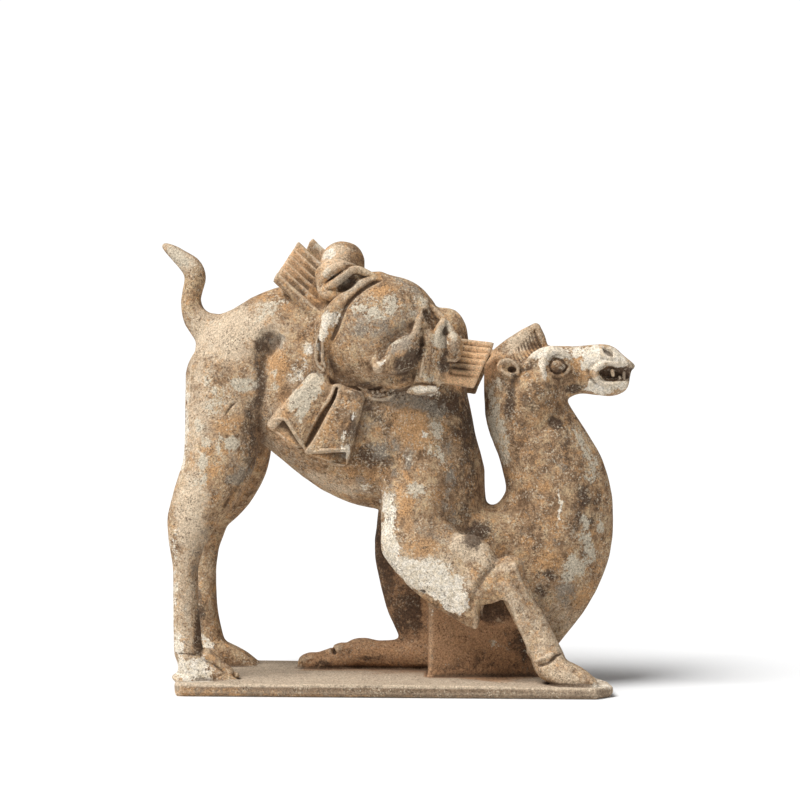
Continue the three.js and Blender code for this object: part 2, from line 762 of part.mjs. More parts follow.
// The slab: its near front corner is cut off, its front end runs back askew, its rear corners are
// rounded, and it thins to the front
function slab() {
  const { rear, front, half, radius, thick, thin } = SLAB;
  const outline = new THREE.Shape();
  outline.moveTo(rear + radius, -half);
  for (const [x, y] of SLAB_END) outline.lineTo(x, y);
  outline.lineTo(rear + radius, half);
  outline.absarc(rear + radius, half - radius, radius, Math.PI / 2, Math.PI, false);
  outline.absarc(rear + radius, radius - half, radius, Math.PI, 1.5 * Math.PI, false);
  const geometry = extruded(outline, thick, 5);
  const place = geometry.attributes.position;
  for (let i = 0; i < place.count; i++) {
    const lower = (thick - thin) * (place.getX(i) - rear) / (front - rear);
    if (place.getZ(i) > thick / 2) place.setZ(i, thick - lower);
  }
  return solidFromGeometry(geometry);
}

// A ribbed board of the pack frame on the near side. Its outer end runs from top to low, and its
// ribs run inward from there on the face that looks away from the body.
function board(top, low, inward, length, ribs) {
  const width = Math.hypot(...minus(low, top));
  const profile = new THREE.Shape();
  profile.moveTo(width, 0);
  profile.lineTo(width, -BOARD.thick);
  profile.lineTo(0, -BOARD.thick);
  profile.lineTo(0, 0);
  for (let i = 1; i <= ribs; i++) {
    const pitch = width / ribs;
    profile.quadraticCurveTo((i - 0.5) * pitch, 2 * BOARD.rib, i * pitch, 0);
  }
  const geometry = extruded(profile, length, 3);
  const across = new THREE.Vector3(...minus(low, top)).normalize();
  const along = new THREE.Vector3(...inward).normalize();
  const outward = new THREE.Vector3().crossVectors(along, across).normalize();
  if (outward.y > 0) outward.negate();
  const start = new THREE.Vector3(...top);
  // A left-handed frame would turn the solid inside out, so it is then built from its inner end
  if (new THREE.Vector3().crossVectors(across, outward).dot(along) < 0) {
    start.addScaledVector(along, length);
    along.negate();
  }
  return solidFromGeometry(geometry.applyMatrix4(
    new THREE.Matrix4().makeBasis(across, outward, along).setPosition(start),
  ));
}

// A round ridge of hair that lies in the surface
function ridge(from, to, radius) {
  const reach = new THREE.Vector3(...to).sub(new THREE.Vector3(...from));
  const geometry = new THREE.CylinderGeometry(radius, radius, reach.length(), 6);
  const upright = new THREE.Vector3(0, 1, 0);
  const turn = new THREE.Quaternion().setFromUnitVectors(upright, reach.clone().normalize());
  const middle = new THREE.Vector3(...from).addScaledVector(reach, 0.5);
  return solidFromGeometry(geometry.applyQuaternion(turn).translate(middle.x, middle.y, middle.z));
}

// Slanting ridges on both sides of the crest, set off from its bare rim
function crestRidges() {
  const { x, z } = HEAD;
  const { ridges, pitch, half, radius } = CREST;
  const pieces = [];
  for (let i = 0; i < ridges; i++) {
    const top = [x - 10.5 - i * pitch, 0, z + 25 - i * pitch];
    const foot = [x - 3.5 - i * pitch, 0, z + 12.5 - i * pitch * 0.9];
    for (const side of [-1, 1]) {
      const shift = (point) => [point[0], side * half, point[2]];
      pieces.push(ridge(shift(top), shift(foot), radius));
    }
  }
  return pieces;
}

// Four boards: a pair behind the rear hump and a pair beside the front one. The far ones sit a
// little off the near ones.
function boards() {
  const rear = board([-71, -10, 319.5], [-86, -30, 292], [27, -4, -25], 50, BOARD.ribs);
  const front = board([69, -13, 246], [56, -36, 216.6], [-24, -3, 3.4], 46, BOARD.ribs + 1);
  return [
    rear,
    rear.mirror([0, 1, 0]).translate([8.5, 0, 3.5]),
    front,
    front.mirror([0, 1, 0]).translate([0, 0, -4]),
  ];
}

function geometryOf(solid) {
  const { vertProperties, triVerts } = solid.getMesh();
  const geometry = new THREE.BufferGeometry();
  geometry.setAttribute('position', new THREE.BufferAttribute(Float32Array.from(vertProperties), 3));
  geometry.setIndex(new THREE.BufferAttribute(Uint32Array.from(triVerts), 1));
  geometry.computeVertexNormals();
  return geometry;
}

body();
tail();
hindLeg(-1, 0);
hindLeg(1, 4);
neck();
head();
support();
nearForeleg();
farForeleg();
flank();
load();

const clay = solidFromMesh(thinOut(skin(), FACE_TARGET));
const figure = [slab(), ...boards(), ...crestRidges()].reduce((joined, piece) => joined.add(piece), clay);

const camel = new THREE.Mesh(geometryOf(figure), CLAY);
camel.name = 'kneeling_camel';

const group = new THREE.Group();
group.add(camel);

export default group;
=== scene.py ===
"""A pack camel rising from its knees on a thin slab, in unglazed earthenware.

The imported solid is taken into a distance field, its facets are smoothed away and the fine
carving is worked into the field. The skin of the field then replaces the solid. The script
works in millimetres and hands over metres.
"""
import json
import math

import bpy
import numpy as np
import openvdb as vdb
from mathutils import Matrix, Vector

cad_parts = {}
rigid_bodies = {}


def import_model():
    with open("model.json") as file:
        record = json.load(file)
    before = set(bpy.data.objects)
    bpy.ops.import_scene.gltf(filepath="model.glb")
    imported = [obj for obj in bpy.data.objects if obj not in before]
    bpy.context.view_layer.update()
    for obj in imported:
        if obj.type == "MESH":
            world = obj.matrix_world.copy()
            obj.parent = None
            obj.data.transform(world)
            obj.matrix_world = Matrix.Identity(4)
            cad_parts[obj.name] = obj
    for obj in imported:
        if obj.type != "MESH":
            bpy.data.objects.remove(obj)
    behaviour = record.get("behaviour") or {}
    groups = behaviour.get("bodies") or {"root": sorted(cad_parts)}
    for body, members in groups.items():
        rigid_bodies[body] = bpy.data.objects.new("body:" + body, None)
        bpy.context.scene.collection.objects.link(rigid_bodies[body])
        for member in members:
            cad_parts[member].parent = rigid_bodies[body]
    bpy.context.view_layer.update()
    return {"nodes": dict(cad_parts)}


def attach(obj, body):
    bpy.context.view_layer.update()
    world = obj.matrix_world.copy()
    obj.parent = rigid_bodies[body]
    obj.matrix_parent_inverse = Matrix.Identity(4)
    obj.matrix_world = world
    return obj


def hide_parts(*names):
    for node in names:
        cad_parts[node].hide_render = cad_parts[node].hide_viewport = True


for extra in list(bpy.data.objects):
    bpy.data.objects.remove(extra)
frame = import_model()

NODE = "kneeling_camel"
MM = 0.001
CELL = 0.8
BAND = 8
MARGIN = 10
TRIANGLES = 190000
NEAR, FAR = -1, 1
EMPTY = 1e3


# The distance field

def packed_mesh():
    """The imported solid's corners in millimetres, and its triangles."""
    mesh = frame["nodes"][NODE].data
    mesh.calc_loop_triangles()
    points = np.empty(len(mesh.vertices) * 3, np.float32)
    mesh.vertices.foreach_get("co", points)
    triangles = np.empty(len(mesh.loop_triangles) * 3, np.int32)
    mesh.loop_triangles.foreach_get("vertices", triangles)
    return points.reshape(-1, 3).astype(float) / MM, triangles.reshape(-1, 3).astype(np.uint32)


def distance_field(points, triangles):
    """Distances to the solid on a grid of cells, and the grid's first cell."""
    grid = vdb.FloatGrid.createLevelSetFromPolygons(
        points, triangles=triangles,
        transform=vdb.createLinearTransform(voxelSize=CELL), halfWidth=BAND)
    first = np.floor(points.min(0) / CELL).astype(int) - MARGIN
    last = np.ceil(points.max(0) / CELL).astype(int) + MARGIN
    values = np.empty(tuple(last - first), np.float32)
    grid.copyToArray(values, ijk=tuple(int(v) for v in first))
    return values, first


def blurred(values, sigma):
    """The values averaged over a round neighbourhood of that size in millimetres."""
    reach = int(math.ceil(2.5 * sigma / CELL))
    taps = np.exp(-0.5 * (np.arange(-reach, reach + 1) * CELL / sigma) ** 2)
    taps = (taps / taps.sum()).astype(np.float32)
    for axis in range(3):
        padding = [(reach, reach) if a == axis else (0, 0) for a in range(3)]
        padded = np.pad(values, padding, mode="edge")
        size = values.shape[axis]
        values = np.zeros_like(values)
        for n, tap in enumerate(taps):
            cut = [slice(n, n + size) if a == axis else slice(None) for a in range(3)]
            values += tap * padded[tuple(cut)]
    return values


def ramp(value, start, end):
    """A smooth step from 0 to 1."""
    t = np.clip((value - start) / (end - start), 0, 1)
    return t * t * (3 - 2 * t)


def window(low, high):
    """The cells of a box, and their places along the three axes."""
    first = np.maximum(np.floor(np.array(low) / CELL).astype(int) - ORIGIN, 0)
    last = np.minimum(np.ceil(np.array(high) / CELL).astype(int) - ORIGIN + 1, field.shape)
    cells = tuple(slice(int(a), int(b)) for a, b in zip(first, last))
    spans = [((np.arange(a, b) + o) * CELL).astype(np.float32) for a, b, o in zip(first, last, ORIGIN)]
    return cells, (spans[0][:, None, None], spans[1][None, :, None], spans[2][None, None, :])


# Forms. A form is a list of parts, each a distance function and the box it fills.

def smooth_min(a, b, soft):
    overlap = np.maximum(soft - np.abs(a - b), 0) / soft
    return np.minimum(a, b) - overlap * overlap * soft / 4


def smooth_max(a, b, soft):
    return -smooth_min(-a, -b, soft)


def spline(stations, steps):
    """Points on a smooth curve through the stations."""
    stations = np.array(stations, float)
    last = len(stations) - 1
    points = []
    for i in range(last):
        before, start = stations[max(i - 1, 0)], stations[i]
        end, after = stations[i + 1], stations[min(i + 2, last)]
        for t in np.arange(steps) / steps:
            points.append(0.5 * (
                2 * start + (end - before) * t
                + (2 * before - 5 * start + 4 * end - after) * t ** 2
                + (3 * start - before - 3 * end + after) * t ** 3))
    return points + [stations[last]]


def cone(a, b):
    """A round or flattened cone between two stations of x, y, z, radius and half-width across."""
    way = b[:3] - a[:3]
    square = max(float(way @ way), 1e-6)

    def gap(x, y, z):
        t = ((x - a[0]) * way[0] + (y - a[1]) * way[1] + (z - a[2]) * way[2]) / square
        t = np.clip(t, 0, 1)
        radius = a[3] + (b[3] - a[3]) * t
        flat = (a[4] + (b[4] - a[4]) * t) / radius
        qx = x - a[0] - way[0] * t
        qy = (y - a[1] - way[1] * t) / flat
        qz = z - a[2] - way[2] * t
        length = np.sqrt(qx * qx + qy * qy + qz * qz) + 1e-6
        steep = np.sqrt(qx * qx + qy * qy / (flat * flat) + qz * qz) + 1e-6
        return (length - radius) * length / steep

    pad_a = np.array([a[3], a[4], a[3]])
    pad_b = np.array([b[3], b[4], b[3]])
    return gap, np.minimum(a[:3] - pad_a, b[:3] - pad_b), np.maximum(a[:3] + pad_a, b[:3] + pad_b)


def limb(stations, steps=4):
    """A limb that runs smoothly through stations of x, y, z, radius and half-width across."""
    full = [tuple(s) + (s[3],) if len(s) == 4 else tuple(s) for s in stations]
    points = spline(full, steps)
    return [cone(a, b) for a, b in zip(points, points[1:])]


def lump(place, radii, tilt=0):
    """An egg-shaped lump. Its long axis is turned by tilt degrees in the side view."""
    (x0, y0, z0), (rx, ry, rz) = place, radii
    cos, sin = math.cos(math.radians(tilt)), math.sin(math.radians(tilt))

    def gap(x, y, z):
        dx = (x - x0) * cos + (z - z0) * sin
        dz = (z - z0) * cos - (x - x0) * sin
        dy = y - y0
        scaled = np.sqrt((dx / rx) ** 2 + (dy / ry) ** 2 + (dz / rz) ** 2)
        steep = np.sqrt((dx / rx ** 2) ** 2 + (dy / ry ** 2) ** 2 + (dz / rz ** 2) ** 2) + 1e-6
        return scaled * (scaled - 1) / steep

    pad = np.array([max(rx, rz), ry, max(rx, rz)])
    return [(gap, np.array(place) - pad, np.array(place) + pad)]


def mirrored(form):
    """The same form on the other side of the body."""
    def flip(gap):
        return lambda x, y, z: gap(x, -y, z)

    return [(flip(gap), np.array([low[0], -high[1], low[2]]), np.array([high[0], -low[1], high[2]]))
            for gap, low, high in form]


def sculpt(form, soft, change):
    pad = soft + 2 * CELL
    low = np.min([part[1] for part in form], axis=0) - pad
    high = np.max([part[2] for part in form], axis=0) + pad
    cells, _ = window(low, high)
    nearest = np.full(field[cells].shape, EMPTY, np.float32)
    for gap, part_low, part_high in form:
        inner, places = window(part_low - pad, part_high + pad)
        local = tuple(slice(i.start - c.start, i.stop - c.start) for i, c in zip(inner, cells))
        nearest[local] = np.minimum(nearest[local], gap(*places))
    field[cells] = change(field[cells], nearest)


def add(form, soft):
    sculpt(form, soft, lambda old, gap: smooth_min(old, gap, soft))


def carve(form, soft):
    sculpt(form, soft, lambda old, gap: smooth_max(old, -gap, soft))


def add_pair(form, soft):
    add(form, soft)
    add(mirrored(form), soft)


def carve_pair(form, soft):
    carve(form, soft)
    carve(mirrored(form), soft)


# Lines that are drawn on the skin as it is seen from the side

def skin_y(x, z, side):
    """Where a line of sight from that side meets the skin."""
    i = int(round(x / CELL)) - ORIGIN[0]
    k = int(round(z / CELL)) - ORIGIN[2]
    column = field[i, :, k]
    if side == FAR:
        column = column[::-1]
    inside = np.nonzero(column < 0)[0]
    if len(inside) == 0:
        return None
    n = inside[0]
    part = column[n - 1] / (column[n - 1] - column[n])
    depth = n - 1 + part
    if side == FAR:
        depth = field.shape[1] - 1 - depth
    return (depth + ORIGIN[1]) * CELL


def laid(path, side, lift):
    """A limb along the skin through stations of x, z and radius, its middle lifted off the skin."""
    stations = []
    for x, z, radius in path:
        y = skin_y(x, z, side)
        if y is not None:
            stations.append((x, y + side * lift, z, radius))
    return limb(stations)


def ridge(path, side=NEAR, lift=0.0, soft=1.0):
    add(laid(path, side, lift), soft)


def groove(path, side=NEAR, lift=0.6, soft=0.8):
    carve(laid(path, side, lift), soft)


def both(draw, path, *rest):
    draw(path, NEAR, *rest)
    draw(path, FAR, *rest)


# Boards

def unit(v):
    return v / np.linalg.norm(v)


def rounded_gap(dx, dy, dz, edge):
    x, y, z = dx + edge, dy + edge, dz + edge
    outside = np.sqrt(np.maximum(x, 0) ** 2 + np.maximum(y, 0) ** 2 + np.maximum(z, 0) ** 2)
    return outside + np.minimum(np.maximum(np.maximum(x, y), z), 0) - edge


BOARD = {"thick": 6, "edge": 0.7}
REAR_RIB = {"height": 2.6, "sharp": 2.0}
FRONT_RIB = {"height": 2.2, "sharp": 0.45}


def board(top, low, inward, length, ribs, cut, rib):
    """A ribbed board. Its outer end runs from top to low and its ribs run inward from there.

    The first form clears the place of the ribs, over the length in cut, and the second is the board.
    """
    top, low, inward = np.array(top, float), np.array(low, float), np.array(inward, float)
    width = np.linalg.norm(low - top)
    across, along = unit(low - top), unit(inward)
    outward = unit(np.cross(along, across))
    if outward[1] > 0:
        outward = -outward
    turn = np.linalg.inv(np.column_stack([across, outward, along]))

    def local(x, y, z):
        d = (x - top[0], y - top[1], z - top[2])
        return [row[0] * d[0] + row[1] * d[1] + row[2] * d[2] for row in turn]

    def plate(x, y, z):
        a, o, l = local(x, y, z)
        phase = np.clip(a / width * ribs, 0, ribs)
        rise = rib["height"] * (0.5 - 0.5 * np.cos(2 * math.pi * phase)) ** rib["sharp"]
        middle = (rise - BOARD["thick"]) / 2
        half = (rise + BOARD["thick"]) / 2
        return rounded_gap(abs(a - width / 2) - width / 2, abs(o - middle) - half,
                           abs(l - length / 2) - length / 2, BOARD["edge"]) * 0.8

    def space(x, y, z):
        a, o, l = local(x, y, z)
        return rounded_gap(abs(a - width / 2) - width / 2 - 1, abs(o - 4) - 4,
                           abs(l - cut / 2) - cut / 2, 0.5)

    reach = np.array([across * a + outward * o + along * l
                      for a in (-2, width + 2) for o in (-8, 8) for l in (-1, length + 1)])
    low_corner, high_corner = top + reach.min(0), top + reach.max(0)
    return [(space, low_corner, high_corner)], [(plate, low_corner, high_corner)]


def shifted(form, dx, dz):
    def move(gap):
        return lambda x, y, z: gap(x - dx, y, z - dz)

    step = np.array([dx, 0, dz])
    return [(move(gap), low + step, high + step) for gap, low, high in form]


def boards():
    """A pair behind the rear hump and a pair beside the front one."""
    space, plate = board((-71, -10, 319.5), (-86, -30, 292), (27, -4, -25), 50, 6, 26, REAR_RIB)
    carve(space, 0.3)
    add(plate, 0.8)
    carve(shifted(mirrored(space), 8.5, 3.5), 0.3)
    add(shifted(mirrored(plate), 8.5, 3.5), 0.8)
    space, plate = board((69, -13, 246), (56, -36, 216.6), (-24, -3, 3.4), 46, 7, 20, FRONT_RIB)
    carve(space, 0.3)
    add(plate, 0.8)
    carve(shifted(mirrored(space), 0, -4), 0.3)
    add(shifted(mirrored(plate), 0, -4), 0.8)


# Fine carving

def bar(start, end, start_half, end_half, thick_half, edge):
    """A flat bar with rounded edges between two points of the side view. It may taper."""
    start, end = np.array(start, float), np.array(end, float)
    length = math.hypot(end[0] - start[0], end[2] - start[2])
    ux, uz = (end[0] - start[0]) / length, (end[2] - start[2]) / length

    def gap(x, y, z):
        along = (x - start[0]) * ux + (z - start[2]) * uz
        across = (z - start[2]) * ux - (x - start[0]) * uz
        t = np.clip(along / length, 0, 1)
        return rounded_gap(
            abs(along - length / 2) - length / 2,
            abs(y - start[1] - (end[1] - start[1]) * t) - thick_half,
            abs(across) - start_half - (end_half - start_half) * t, edge)

    wide = max(start_half, end_half)
    pad = np.array([wide, thick_half, wide])
    return [(gap, np.minimum(start, end) - pad, np.maximum(start, end) + pad)]


# The head

def muzzle():
    """Skull, muzzle and jaw, with the open mouth cut between them."""
    add(limb([(84, 0, 227, 15, 13), (108, 0, 227.5, 16, 15), (127, 0, 230, 13.6, 12),
              (140, 0, 234, 10.7, 10.5), (149, 0, 236.2, 8.4, 10.5), (156, 0, 233.6, 6, 9.5),
              (163, 0, 230.8, 3.9, 7), (167.8, 0, 229.6, 1.7, 3.2)]), 2.5)
    add(limb([(114, 0, 216, 11, 12), (130, 0, 218.5, 8, 10), (144, 0, 216, 6.6, 8.5),
              (153, 0, 214.6, 5.6, 8), (160, 0, 216, 4.2, 6.5), (163, 0, 219, 2.2, 5)]), 2.5)
    add(lump((137, 0, 224), (10, 11, 10)), 4)
    carve_pair(limb([(146.4, -12, 224.8, 2.9, 8.5), (150.6, -11, 224.0, 4.0, 8.2), (156, -10, 223.4, 3.8, 7.6),
                     (161, -9, 223.0, 3.1, 7), (167, -7, 222.8, 2.8, 6)]), 0.6)
    add(limb([(145, 0, 223.6, 4.0, 2.4), (156, 0, 223, 4.0, 2.2), (160.4, 0, 222.8, 3.2, 1.8)]), 0.6)
    add_pair(limb([(153.2, -6.4, 226.0, 1.5, 3.2), (153.8, -6.4, 223.0, 1.3, 2.8)]), 0.3)
    add_pair(limb([(161.6, -3.6, 225.4, 1.3, 2.2), (161.6, -3.6, 220.6, 1.4, 2.2)]), 0.4)
    add_pair(limb([(158.6, -4.4, 221.8, 1.1, 1.8), (158.6, -4.4, 219.8, 1.2, 1.8)]), 0.4)


def lips():
    for side in (NEAR, FAR):
        ridge([(157.4, 231.0, 1.2), (152.6, 232.2, 1.6), (147.4, 231.8, 1.8), (142.6, 229.2, 2.1), (140.6, 224.8, 2.2),
               (142.2, 219.8, 2.1), (146.2, 217.2, 1.8), (152, 216.6, 1.5), (158, 217.4, 1.3)], side, 0.4, 1.2)
        groove([(139.0, 231.6, 0.8), (136.6, 228.0, 1.2), (136.4, 223.6, 1.4), (138.4, 219.6, 1.3),
                (141.4, 217.0, 0.8)], side, 0.8, 1.6)
        groove([(144.6, 235.6, 0.7), (149.6, 235.0, 1.0), (155, 234.0, 1.0), (160, 232.6, 0.7)], side, 0.5, 1.2)
        carve(laid([(146.6, 241.6, 1.4), (149.2, 239.6, 2.4), (151.8, 237.6, 2.2)], side, -1.0), 0.6)
        ridge([(145.2, 243.0, 0.9), (145.8, 238.9, 1.3), (149.2, 235.9, 1.3), (153.4, 235.0, 0.9)], side, 0.3, 1.0)


def eyes():
    """Deep-set almond eyes under a heavy brow. The lids are drawn as creases round the eyeball."""
    add_pair(lump((113.6, -13.0, 229.6), (10.4, 4.4, 9.6), -10), 3)
    for side in (NEAR, FAR):
        ridge([(92.0, 231.0, 1.4), (97.0, 235.4, 2.6), (103.0, 239.0, 3.2), (109.4, 240.4, 3.4),
               (115.6, 239.6, 3.0), (121.6, 236.4, 1.8)], side, 0.3, 3)
        ridge([(104.2, 236.0, 2.0), (103.4, 230.0, 2.4), (103.0, 224.6, 2.2), (104.4, 220.0, 1.4)], side, 0.2, 2.6)
        groove([(107.8, 229.0, 0.8), (109.6, 234.8, 1.2), (114.2, 237.0, 1.3), (119.2, 235.2, 1.2),
                (123.2, 231.0, 0.8)], side, 0.4, 1.2)
        groove([(109.8, 225.6, 0.8), (108.8, 230.0, 1.0), (110.6, 233.4, 1.1), (114.0, 234.6, 1.2),
                (117.8, 233.0, 1.1), (120.8, 229.4, 0.9)], side, -0.5, 0.3)
        groove([(109.8, 225.6, 0.9), (113.8, 224.2, 1.1), (118.2, 225.4, 1.1), (121.0, 229.2, 0.9)], side, -0.4, 0.3)
        groove([(110.4, 221.4, 0.7), (115.8, 220.4, 1.1), (121.0, 222.2, 1.1), (124.8, 227.0, 1.0), (124.2, 231.0, 0.6)],
               side, 0.4, 1)
    add_pair(lump((114.2, -14.2, 229.3), (4.2, 3.9, 3.9), 10), 0.3)


def ears():
    add_pair(lump((79.5, -17.5, 228.2), (8.6, 4.8, 6.6), -16), 1.6)
    carve_pair(lump((79.8, -23.8, 228.0), (6.4, 4.4, 4.6), -16), 0.5)
    carve_pair(lump((81.8, -20.4, 227.0), (3.3, 4.6, 2.4), -10), 0.5)
    for side in (NEAR, FAR):
        ridge([(71.8, 229.6, 0.8), (74.6, 232.8, 1.1), (79.0, 234.0, 1.1), (83.2, 231.8, 1.1), (86.0, 228, 1.2),
               (86.2, 224.4, 1.2), (82.6, 222.0, 1.1), (78.2, 223.4, 1.0), (74.6, 226.4, 0.9)], side, 0.4, 0.6)


def crest():
    """A thin fin of combed hair with a plain rim."""
    add(limb([(74, 0, 237, 6.5, 5.2), (83, 0, 243, 7.5, 4.6), (92, 0, 247, 8, 4.4), (98, 0, 248, 7.5, 4.4)]), 3)
    add(limb([(76, 0, 241.5, 3.6, 4.2), (88, 0, 251, 3.6, 4.2), (98.6, 0, 257.2, 3.2, 3.8)]), 1.2)
    add(limb([(98.8, 0, 257.0, 3.0, 3.6), (101.8, 0, 250.0, 3.4, 4.0), (104.0, 0, 243, 3.8, 4.2)]), 1.2)
    for n in range(11):
        fade = 1 - 0.05 * n
        top = (98.0 - 1.9 * n, 254.9 - 1.95 * n)
        foot = (103.6 - 2.06 * n, 242.0 - 1.53 * n)
        line = []
        for t in np.linspace(0, 1, 7):
            bow = 4 * t * (1 - t)
            line.append((top[0] + (foot[0] - top[0]) * t - 0.8 * bow, top[1] + (foot[1] - top[1]) * t - 0.4 * bow,
                         (0.85 + 0.35 * bow) * fade))
        both(groove, line, -0.3, 0.25)


def head():
    muzzle()
    crest()
    add_pair(lump((99, -11, 210), (15, 13, 24), -12), 6)
    eyes()
    ears()
    lips()
    for side in (NEAR, FAR):
        groove([(84.5, 199, 2.2), (90, 189.5, 3.0), (98, 185, 3.2), (106.5, 187, 3.2), (113, 194, 2.8),
                (116, 202, 2.0)], side, 2.0, 4)
        groove([(88.5, 226.4, 1.0), (94, 228.2, 1.4), (100, 227.4, 1.2)], side, 0.9, 1.6)
        groove([(84.4, 221.8, 1.4), (81.6, 210, 2.0), (80.6, 198, 2.0), (81.4, 186, 1.6), (83.5, 172, 1.2),
                (87, 158, 0.8)], side, 1.4, 2.5)


# The load

def rear_knot():
    """Cloth knotted behind the bag: two leaves with a slit between them, over a rounded cup."""
    add_pair(limb([(-52.4, -37, 287.4, 3.0), (-51, -40.5, 282.6, 3.7), (-47, -42.5, 279.4, 4.0),
                   (-41.4, -43, 278.4, 3.9), (-36.6, -43, 280, 2.8)]), 1)
    carve_pair(lump((-32.6, -48.5, 287.4), (10.5, 8.5, 4.8), 38), 0.8)
    add_pair(limb([(-49.6, -40, 286.4, 3.4), (-48.6, -42, 291.4, 3.9), (-45, -43.4, 295.4, 4.0),
                   (-40, -43, 298, 3.7), (-34.3, -41.5, 299.2, 3.1), (-29.4, -38.5, 299.4, 2.2)]), 0.5)
    add_pair(limb([(-48.4, -42.5, 284.4, 2.6), (-43.2, -45.2, 286.4, 3.1), (-38, -46, 290, 3.2),
                   (-33.8, -45.6, 293.5, 3.1), (-29.4, -44.4, 296.3, 3.0), (-25, -43, 296.4, 2.8),
                   (-20, -42, 294.4, 2.5), (-14.4, -41.6, 291.8, 2.0)]), 0.4)
    carve_pair(limb([(-48.4, -46.4, 286.8, 0.9), (-44.9, -47.4, 290.2, 1.4), (-40.7, -47.6, 293, 1.6),
                     (-35.7, -46.6, 296.2, 1.5), (-31.4, -44.6, 298.6, 0.9)]), 0.4)


def band():
    """The cloth band round the bag's rear edge, doubled over at its lower end."""
    add_pair(limb([(-10.4, -40.5, 289.6, 3.0), (-16.4, -43, 288, 3.8), (-24.1, -45.6, 284, 4.8), (-31.1, -47, 277.9, 5.3),
                   (-38.1, -47.6, 272.1, 5.7), (-43, -48, 266.4, 5.7), (-45.6, -48.4, 259.6, 5.4), (-47.6, -48, 252.6, 4.8),
                   (-50.2, -46, 244, 4.6), (-50.4, -44.5, 233, 4.4), (-47, -43, 224, 4)]), 0.8)
    for side in (NEAR, FAR):
        groove([(-9.6, 289.2, 1.3), (-13.6, 287.6, 1.9), (-18.4, 285.0, 1.9), (-23, 281.4, 1.5), (-28.4, 276.6, 1.4),
                (-32.6, 271.6, 1.4), (-35.5, 265.6, 1.5), (-38.3, 258.8, 1.7), (-41, 252.6, 1.8), (-43.4, 247.6, 1.2)],
               side, 0.1, 0.5)
        ridge([(-53.2, 250.5, 0.8), (-54.6, 243.5, 1.1), (-54.9, 236, 1.1), (-53.6, 230.4, 1.2), (-49.6, 226.0, 1.2)],
              side, 0.5, 0.4)
        ridge([(-50.0, 247.4, 0.8), (-49.8, 240, 1.1), (-50.0, 233.4, 1.1), (-48.4, 228.6, 1.0)], side, 0.5, 0.4)
        groove([(-52.4, 247, 0.7), (-52.3, 240, 1.1), (-52.2, 232.4, 1.0)], side, -0.5, 0.3)


def bag():
    add_pair(lump((-11, -31, 254), (42.3, 28.3, 39.3), 8), 4)
    band()
    for side in (NEAR, FAR):
        for start, end in (((5.6, 279.6), (10.2, 265.0)), ((0.4, 281.0), (3.4, 271.0)), ((11.0, 279.0), (14.6, 268.0))):
            middle = ((start[0] + end[0]) / 2 + 0.5, (start[1] + end[1]) / 2)
            groove([start + (0.9,), middle + (1.3,), end + (0.9,)], side, 0.75, 1.6)
        groove([(-46, 222.4, 1.0), (-43, 217.6, 1.3), (-37, 215.2, 1.5), (-30, 214.2, 1.5), (-24, 212.6, 1.4),
                (-16, 212.2, 1.3), (-8, 214.8, 1.2), (2, 219.0, 0.9)], side, 0.1, 0.6)
        for n in range(3):
            drop, shift = 2.7 * n, 1.8 * n
            ridge([(-25 + shift, 214.0 - drop, 0.9), (-18 + shift, 211.2 - drop, 1.3), (-10 + shift, 211.6 - drop, 1.5),
                   (-4 + shift, 215.2 - drop, 1.1)], side, 0.5, 0.5)
        for n in range(7):
            x, z = -21 + 3.1 * n, 209.6 + 0.5 * n
            groove([(x, z + 2.6, 0.5), (x + 1.4, z, 0.8), (x + 2.2, z - 2.4, 0.5)], side, 0.2, 0.4)


def flask():
    """A gourd-shaped bottle that hangs by its strap, its spout down to the rear."""
    carve_pair(limb([(-9.4, -61.6, 234.5, 3.6), (-5.6, -62.4, 242.2, 4.8), (0.6, -62.2, 249.0, 5.2),
                     (8.6, -60.4, 254.0, 4.8), (13.6, -57.6, 257.0, 3.4)]), 3)
    add_pair(lump((-10.2, -58.6, 227.8), (4.3, 5.2, 4.3)), 0.4)
    add_pair(limb([(-3.4, -58.2, 233.6, 3.6), (-7.4, -58.6, 230.2, 2.8)]), 0.8)
    add_pair(lump((5.4, -54.4, 238.6), (15.0, 10.0, 9.4), 41), 0.4)
    add_pair(limb([(13.6, -56, 247.4, 4.2), (17.0, -55.4, 251.4, 2.8)]), 1)
    carve_pair(lump((12.6, -62, 226.0), (10, 6, 6.0), 41), 3)
    add_pair(lump((5, -41.6, 222), (15, 9, 8), 16), 4)


